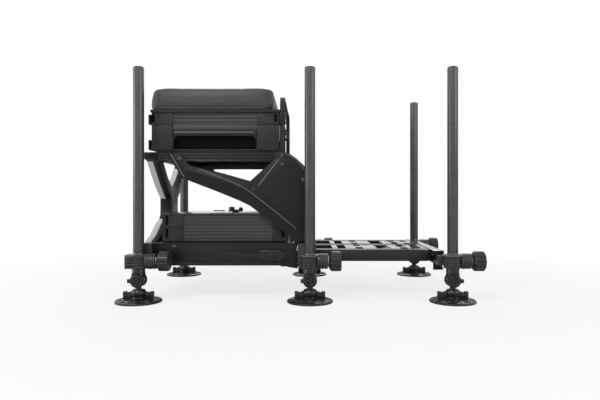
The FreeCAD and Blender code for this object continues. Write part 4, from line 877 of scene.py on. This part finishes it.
lock_low, lock_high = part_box("footplate_lock_right")
LOCK_GAP = 0.3 * MM
lock_thickness = rail_low.y - lock_low.y - LOCK_GAP
lock_shape = lock_model(lock_high.x - lock_low.x, lock_high.z - lock_low.z, lock_thickness)
for side_name, side, face in (("right", -1, rail_low.y), ("left", 1, rail_high.y)):
    node = "footplate_lock_" + side_name
    at = Vector((middle(node).x, face + side * LOCK_GAP, middle(node).z))
    move = Matrix.Translation(at) @ Matrix.Rotation(-math.pi / 2 * side, 4, "X")
    lock = copy_to(lock_shape, node + "_oval", move)
    belongs(lock, SMALL, node, "small_plastic", node)
remove(lock_shape, screw_shape)


# Catch on the cassette lid: a round foot, and a wing with a domed grip at one end and a stop at the other
def catch_model():
    low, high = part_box("lid_catch")
    centre = (low + high) / 2
    height = high.z - low.z
    half = (high.x - low.x) / 2
    foot = turned("catch_foot", [(12 * MM, 0), (12 * MM, 2 * MM), (11 * MM, 3 * MM), (8 * MM, 3.6 * MM),
                                 (7.4 * MM, 7 * MM)], 48)
    grip = turned("catch_grip", [(10 * MM, 3 * MM), (9.6 * MM, height * 0.55), (8.6 * MM, height - 2 * MM),
                                 (7.4 * MM, height - 0.6 * MM), (5 * MM, height)], 48)
    grip.data.transform(Matrix.Translation((-half + 10.4 * MM, 0, 0)))
    stop = turned("catch_stop", [(4.6 * MM, 3 * MM), (5 * MM, height * 0.3), (6.6 * MM, height * 0.55),
                                 (6.4 * MM, height - 3.4 * MM), (4 * MM, height - 1.6 * MM)], 40)
    stop.data.transform(Matrix.Translation((half - 7 * MM, 0, 0)))
    wing = block("catch_wing", (-half + 2 * MM, -5.5 * MM, 4 * MM), (half - 1 * MM, 5.5 * MM, 9.6 * MM),
                 2 * MM, 3)
    piece = join("lid_catch_wing", [foot, grip, stop, wing])
    piece.data.transform(Matrix.Translation((centre.x, centre.y, low.z)))
    return settle(piece, "lid_catch_wing", 30)


belongs(catch_model(), SMALL, "lid_catch", "small_plastic", "lid_catch")


# Seat latch: a ribbed plate with a rolled grip on its pin
def latch_model():
    low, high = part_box("seat_latch")
    half = 18 * MM
    plate = block("latch_plate", (low.x + 0.2 * MM, -half, low.z), (low.x + 4.8 * MM, half, high.z),
                  1.2 * MM, 3)
    grip = block("latch_grip", (low.x + 2 * MM, -half + 4 * MM, high.z - 7 * MM),
                 (high.x, half - 4 * MM, high.z - 2 * MM), 1.6 * MM, 3)
    ribs = [block("latch_rib", (low.x + 3 * MM, -10 * MM, low.z + rise * MM),
                  (low.x + 6 * MM, 10 * MM, low.z + (rise + 2) * MM), 0.7 * MM) for rise in (12, 17, 22)]
    pin = turned("latch_pin", [(1.8 * MM, low.y), (2 * MM, low.y + 0.3 * MM), (2 * MM, high.y - 0.3 * MM),
                               (1.8 * MM, high.y)], 24)
    pin.data.transform(Matrix.Translation((low.x + 2.5 * MM, 0, low.z + 4 * MM)) @ ALONG_Y)
    return settle(join("seat_latch_plate", [plate, grip, pin] + ribs), "seat_latch_plate", 30)


belongs(latch_model(), SMALL, "seat_latch", "small_plastic", "seat_latch")


# Side clips of the seat unit: a hooked bar standing off each corner
def clip_model(depth, width, height):
    bar = block("clip_bar", (0, -width / 2, 0), (depth, width / 2, height), 1.6 * MM, 3)
    alone()
    bpy.ops.mesh.primitive_cube_add(size=1, location=(depth * 0.35, 0, height * 0.5),
                                    scale=(depth * 0.5, width * 1.2, height * 0.5))
    cut_out(bar, [settle(bpy.context.object, "clip_cutter")])
    roll = turned("clip_roll", [(2 * MM, -width * 0.42), (2.6 * MM, -width * 0.4), (2.6 * MM, width * 0.4),
                                (2 * MM, width * 0.42)], 24)
    roll.data.transform(Matrix.Translation((depth * 0.8, 0, height * 0.18)) @ ALONG_Y)
    return settle(join("clip_model", [bar, roll]), "clip_model", 30)


unit_low, unit_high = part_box("drawer_casing")
CLIP_Y = 203 * MM
SKIN = 3 * MM
rear_x, front_x = unit_low.x - SKIN, unit_high.x + SKIN
upper_z, lower_z = UNIT_SEAM + 2 * MM, unit_low.z + 6 * MM
clip_shape = clip_model(11 * MM, 26 * MM, 29 * MM)
clips = []
for x, z, angle in ((rear_x, upper_z, math.pi), (front_x, upper_z, 0), (rear_x, lower_z, math.pi)):
    for side_name, side in SIDES:
        move = Matrix.Translation((x, side * CLIP_Y, z)) @ Matrix.Rotation(angle, 4, "Z")
        clips.append(copy_to(clip_shape, "unit_clip", move))
remove(clip_shape)
belongs(join("seat_unit_clips", clips), SMALL, "chassis", "small_plastic")


# Strap: webbing drawn up, round the corner and across, then thickened and softened
STRAP_WIDTH = 13.5 * MM
STRAP_THICKNESS = 2.2 * MM


def strap_route(low, high):
    inset = 1.6 * MM
    reach, top = high.y - inset, high.z - inset
    corner = 42 * MM
    sag = 3 * MM
    points = [(-reach, low.z + 1 * MM)]
    rise = top - corner - low.z
    points += [(-reach, low.z + rise * step / 8) for step in range(1, 9)]
    for step in range(1, 9):
        turn = math.pi / 2 * step / 8
        points.append((-reach + corner * (1 - math.cos(turn)), top - corner * (1 - math.sin(turn))))
    points += [(-(reach - corner) * (1 - step / 8), top) for step in range(1, 9)]
    # the level top sags a little between its corners
    sagged = [(y, z - sag * max(0, 1 - (y / (reach - corner)) ** 2) if z > top - 1e-6 else z)
              for y, z in points]
    return sagged + [(-y, z) for y, z in reversed(sagged[:-1])]


def strap_band(low, high):
    route = strap_route(low, high)
    alone()
    bpy.ops.mesh.primitive_plane_add(size=1, location=(0, 0, 0))
    band = bpy.context.object
    # half of the plane goes, and the edge that is left is the band's first width
    open_mesh(band, "VERT")
    pick_points(band, lambda point: point.y > 0)
    bpy.ops.mesh.delete(type="VERT")
    bpy.ops.mesh.select_all(action="SELECT")
    bpy.ops.transform.resize(value=(STRAP_WIDTH, 1, 1), center_override=(0, 0, 0))
    bpy.ops.transform.translate(value=(low.x + STRAP_WIDTH / 2, route[0][0] + 0.5, route[0][1]))
    for (y, z), (next_y, next_z) in zip(route, route[1:]):
        bpy.ops.mesh.extrude_region_move(TRANSFORM_OT_translate={"value": (0, next_y - y, next_z - z)})
    close_mesh()
    finish_with(band, "SOLIDIFY", thickness=STRAP_THICKNESS, offset=0)
    finish_with(band, "BEVEL", width=0.7 * MM, segments=2, limit_method="ANGLE", angle_limit=math.radians(50))
    finish_with(band, "SUBSURF", levels=1, render_levels=1)
    return settle(band, "strap_band", 60)


strap_low, strap_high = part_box("shoulder_strap")
belongs(strap_band(strap_low, strap_high), WEBBING, "chassis", "strap_webbing", "shoulder_strap")


# Slide buckle: a frame with two slots round the strap
def buckle_model():
    low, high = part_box("strap_buckle")
    high.x = low.x + 19 * MM
    shell = block("buckle_shell", low, high, 2.2 * MM, 3)
    slack, past = 0.3 * MM, 2 * MM
    inner_y, outer_y = strap_low.y - slack, strap_low.y + 3.3 * MM
    cutters = [block("band_room", (strap_low.x - slack, inner_y, low.z - past),
                     (strap_low.x + STRAP_WIDTH + 0.4 * MM, outer_y, high.z + past), 0.2 * MM, 1)]
    height = high.z - low.z
    for share in (0.16, 0.56):
        rise = low.z + height * share
        cutters.append(block("buckle_window", (low.x + 4 * MM, low.y - past, rise),
                             (high.x - 4 * MM, inner_y + 1 * MM, rise + height * 0.28), 1 * MM, 2))
    cut_out(shell, cutters)
    return settle(shell, "strap_buckle_slide", 30)


belongs(buckle_model(), SMALL, "chassis", "small_plastic", "strap_buckle")


# Deck treads: low rounded bars that run the way the footplate slides, raised for grip
def deck_treads():
    low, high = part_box("footplate_deck")
    bars = []
    for y in (9, 167):
        for side in (-1, 1):
            ends = sorted(((side * y - 1.4) * MM, (side * y + 1.4) * MM))
            bars.append(block("tread", (low.x + 6 * MM, ends[0], high.z - 0.4 * MM),
                              (high.x - 6 * MM, ends[1], high.z + 1.0 * MM), 0.5 * MM, 1))
    return join("deck_treads", bars)


belongs(deck_treads(), GLOSS, "footplate", "gloss_panel")


# Keeper plates under the rails' front ends, each with a turned-down lip
def keeper_plates():
    pieces = []
    front, bottom = rail_high.x, rail_low.z
    half_width = 8 * MM
    for side_name, side in SIDES:
        y = side * 214 * MM
        plate = block("keeper", (front - 50 * MM, y - half_width, bottom - 3 * MM),
                      (front - 1 * MM, y + half_width, bottom + 0.2 * MM), 0.6 * MM)
        lip = block("keeper_lip", (front - 40 * MM, y - half_width, bottom - 9 * MM),
                    (front - 1 * MM, y + half_width, bottom - 1 * MM), 0.8 * MM)
        move_points(lip, lambda point: point.x < front - 30 * MM and point.z < bottom - 5 * MM,
                    (12 * MM, 0, 4 * MM))
        pieces += [plate, lip]
    belongs(join("keeper_plates", pieces), SMALL, "chassis", "small_plastic")


# Wire catches at the rails' front ends: (x from the rail's end, z from the wire's foot), in millimetres
WIRE_LINE = ((-2, 0), (-1, 9), (1, 17), (5, 21), (7, 16), (4, 11), (-3, 6))


def wire_catches():
    pieces = []
    foot_z = rail_high.z - 22 * MM
    for side_name, side in SIDES:
        y = side * (rail_high.y + 2.2 * MM)
        line = [(rail_high.x + x * MM, y, foot_z + z * MM) for x, z in WIRE_LINE]
        pieces.append(bead("catch_wire_" + side_name, line, 1.5 * MM))
    belongs(join("rail_wire_catches", pieces), THREAD, "chassis", "dark_steel")


keeper_plates()
wire_catches()


# Cushion: the cover is blown up from a slightly smaller block, held flat underneath, then seamed.
# It sits a little further back on its board than the solid does
CUSHION_SHIFT = 8 * MM
VOXEL = 5 * MM
CLOTH_FRAMES = 16
PRESSURE = 1.6
STIFFNESS = 40
FURTHEST = 2.5 * MM


# The padding fills the upper edges: the crown is flattened above them, and they stand out a little
def fill_shoulder(piece, low, high):
    centre = (low + high) / 2
    shoulder = 0.93 * (high.z - low.z)
    crown_share = 0.35
    fullness = 0.022
    rear_stretch = 1.016
    for point in piece.data.vertices:
        rise = point.co.z - low.z
        if rise > shoulder:
            point.co.z = low.z + shoulder + (rise - shoulder) * crown_share
        spread = fullness * min(1, rise / shoulder)
        point.co.x = centre.x + (point.co.x - centre.x) * (1 + spread)
        point.co.x = high.x + (point.co.x - high.x) * rear_stretch - CUSHION_SHIFT
        point.co.y = centre.y + (point.co.y - centre.y) * (1 + spread * 0.5)


# The lowest points are held on the board, and no point moves further than the cap
def blow_up(piece, bottom):
    rest = [point.co.copy() for point in piece.data.vertices]
    held = piece.vertex_groups.new(name="held")
    held.add([index for index, co in enumerate(rest) if co.z < bottom + 3 * MM], 1.0, "REPLACE")
    cloth = piece.modifiers.new("Cloth", "CLOTH")
    cloth.settings.use_pressure = True
    cloth.settings.uniform_pressure_force = PRESSURE
    cloth.settings.effector_weights.gravity = 0
    cloth.settings.vertex_group_mass = "held"
    cloth.settings.tension_stiffness = STIFFNESS
    cloth.settings.compression_stiffness = STIFFNESS
    for step in range(1, CLOTH_FRAMES + 1):
        bpy.context.scene.frame_set(step)
    alone(piece)
    bpy.ops.object.modifier_apply(modifier=cloth.name)
    for point, start in zip(piece.data.vertices, rest):
        moved = point.co - start
        if moved.length > FURTHEST:
            point.co = start + moved.normalized() * FURTHEST
    bpy.context.scene.frame_set(1)


def cushion_cover():
    low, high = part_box("seat_cushion")
    centre = (low + high) / 2
    piece = merged_copy("seat_cushion", "seat_cushion_cover")
    bpy.ops.transform.resize(value=(0.995, 0.995, 1.22), center_override=(centre.x, centre.y, low.z))
    close_mesh(outwards=False)
    fill_shoulder(piece, low, high)
    finish_with(piece, "REMESH", mode="VOXEL", voxel_size=VOXEL, use_smooth_shade=True)
    blow_up(piece, low.z)
    finish_with(piece, "SMOOTH", factor=0.4, iterations=2)
    finish_with(piece, "SUBSURF", levels=1, render_levels=1)
    return settle(piece, "seat_cushion_cover", 80)


# Welt: a sewn cord laid on the cover. A ring is shrunk onto the cover and its points are followed
def welt(cover, name, centre, turn):
    alone()
    bpy.ops.mesh.primitive_circle_add(vertices=96, radius=0.4, location=centre, rotation=turn)
    loop = bpy.context.object
    finish_with(loop, "SHRINKWRAP", target=cover, wrap_method="PROJECT", use_negative_direction=True,
                use_positive_direction=False)
    points = [loop.matrix_world @ point.co for point in loop.data.vertices]
    remove(loop)
    return bead(name, points, 1.7 * MM, closed=True)


def cushion_welts(cover):
    low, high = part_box("seat_cushion")
    centre = (low + high) / 2
    upright, level = (0, math.pi / 2, 0), (0, 0, 0)
    end = 9 * MM
    rise = centre.z - 4 * MM
    return join("seat_cushion_welts", [
        welt(cover, "welt_rear", (low.x + end, 0, rise), upright),
        welt(cover, "welt_front", (high.x - CUSHION_SHIFT - end, 0, rise), upright),
        welt(cover, "welt_base", (centre.x, 0, low.z + 5 * MM), level)])


cover = belongs(cushion_cover(), COVER, "seat_lid", "seat_cover", "seat_cushion")
belongs(cushion_welts(cover), WELT, "seat_lid", "seat_cover")


# Stage: the world lights the part softly, and is white to the camera, in gloss and through glass
def soft_world():
    world = bpy.data.worlds.new("studio")
    bpy.context.scene.world = world
    world.use_nodes = True
    tree = world.node_tree
    tree.nodes.clear()
    rays = add(tree, "ShaderNodeLightPath")
    seen = add(tree, "ShaderNodeMath", {0: rays.outputs["Is Camera Ray"], 1: rays.outputs["Is Glossy Ray"]},
               operation="MAXIMUM")
    seen = add(tree, "ShaderNodeMath", {0: seen.outputs[0], 1: rays.outputs["Is Transmission Ray"]},
               operation="MAXIMUM")
    light = add(tree, "ShaderNodeBackground", {"Color": colour("F4F6FA"), "Strength": 0.3})
    white = add(tree, "ShaderNodeBackground", {"Color": (1, 1, 1, 1), "Strength": 1.0})
    mix = add(tree, "ShaderNodeMixShader", {0: seen.outputs[0], 1: light.outputs[0], 2: white.outputs[0]})
    add(tree, "ShaderNodeOutputWorld", {"Surface": mix.outputs[0]})


# The pale floor keeps the shadow near the part and turns plain white further out
def pale_floor():
    fade_start, fade_end = 0.6, 1.5
    near_white = 0.78
    alone()
    bpy.ops.mesh.primitive_plane_add(size=60, location=(0, 0, -0.4 * MM))
    floor = bpy.context.object
    floor.name = "floor"
    material = bpy.data.materials.new("pale_floor")
    material.use_nodes = True
    tree = material.node_tree
    tree.nodes.clear()
    place = add(tree, "ShaderNodeTexCoord").outputs["Object"]
    reach = add(tree, "ShaderNodeVectorMath", {0: place}, operation="LENGTH")
    fade = add(tree, "ShaderNodeMapRange", {"Value": reach.outputs["Value"], "From Min": fade_start,
                                            "From Max": fade_end, "To Min": near_white, "To Max": 1.0})
    matt = add(tree, "ShaderNodeBsdfDiffuse", {"Color": colour("F2F2F2")})
    plain = add(tree, "ShaderNodeEmission", {"Color": (1, 1, 1, 1), "Strength": 1.0})
    rays = add(tree, "ShaderNodeLightPath")
    share = add(tree, "ShaderNodeMath", {0: fade.outputs[0], 1: rays.outputs["Is Camera Ray"]},
                operation="MULTIPLY")
    mix = add(tree, "ShaderNodeMixShader", {0: share.outputs[0], 1: matt.outputs[0], 2: plain.outputs[0]})
    add(tree, "ShaderNodeOutputMaterial", {"Surface": mix.outputs[0]})
    floor.data.materials.append(material)


def lamp(name, place, target, size, power):
    light = bpy.data.lights.new(name, "AREA")
    light.shape = "RECTANGLE"
    light.size, light.size_y = size
    light.energy = power
    item = bpy.data.objects.new(name, light)
    bpy.context.scene.collection.objects.link(item)
    item.location = place
    item.rotation_euler = (Vector(target) - Vector(place)).to_track_quat("-Z", "Y").to_euler()


soft_world()
pale_floor()
lamp("key", (-1.0, -1.9, 2.4), target=(0, 0, 0.3), size=(1.0, 0.8), power=38)
lamp("fill", (2.0, -1.5, 0.9), target=(0, 0, 0.3), size=(1.0, 1.0), power=9)
lamp("back", (0.3, 2.2, 1.8), target=(0, 0, 0.4), size=(2.2, 1.0), power=24)
lamp("side", (-2.4, -0.5, 0.5), target=(-0.3, 0, 0.3), size=(0.9, 0.9), power=16)

# Camera: level, square on to the right side, framed as the photograph is
IMAGE_WIDTH, IMAGE_HEIGHT = 600, 400
FOCAL_PIXELS = 525
SENSOR = 36
AXIS_PIXEL = (308.5, 200.5)
CAMERA_PLACE = (0.0245, -1.741, 0.284)
camera_data = bpy.data.cameras.new("camera")
camera_data.sensor_width = SENSOR
camera_data.lens = FOCAL_PIXELS * SENSOR / IMAGE_WIDTH
camera_data.shift_x = (IMAGE_WIDTH / 2 - AXIS_PIXEL[0]) / IMAGE_WIDTH
camera_data.shift_y = (AXIS_PIXEL[1] - IMAGE_HEIGHT / 2) / IMAGE_WIDTH
camera = bpy.data.objects.new("camera", camera_data)
bpy.context.scene.collection.objects.link(camera)
camera.location = CAMERA_PLACE
camera.rotation_euler = (math.pi / 2, 0, 0)
bpy.context.scene.camera = camera
bpy.context.scene.view_settings.view_transform = "Standard"

bpy.context.view_layer.update()
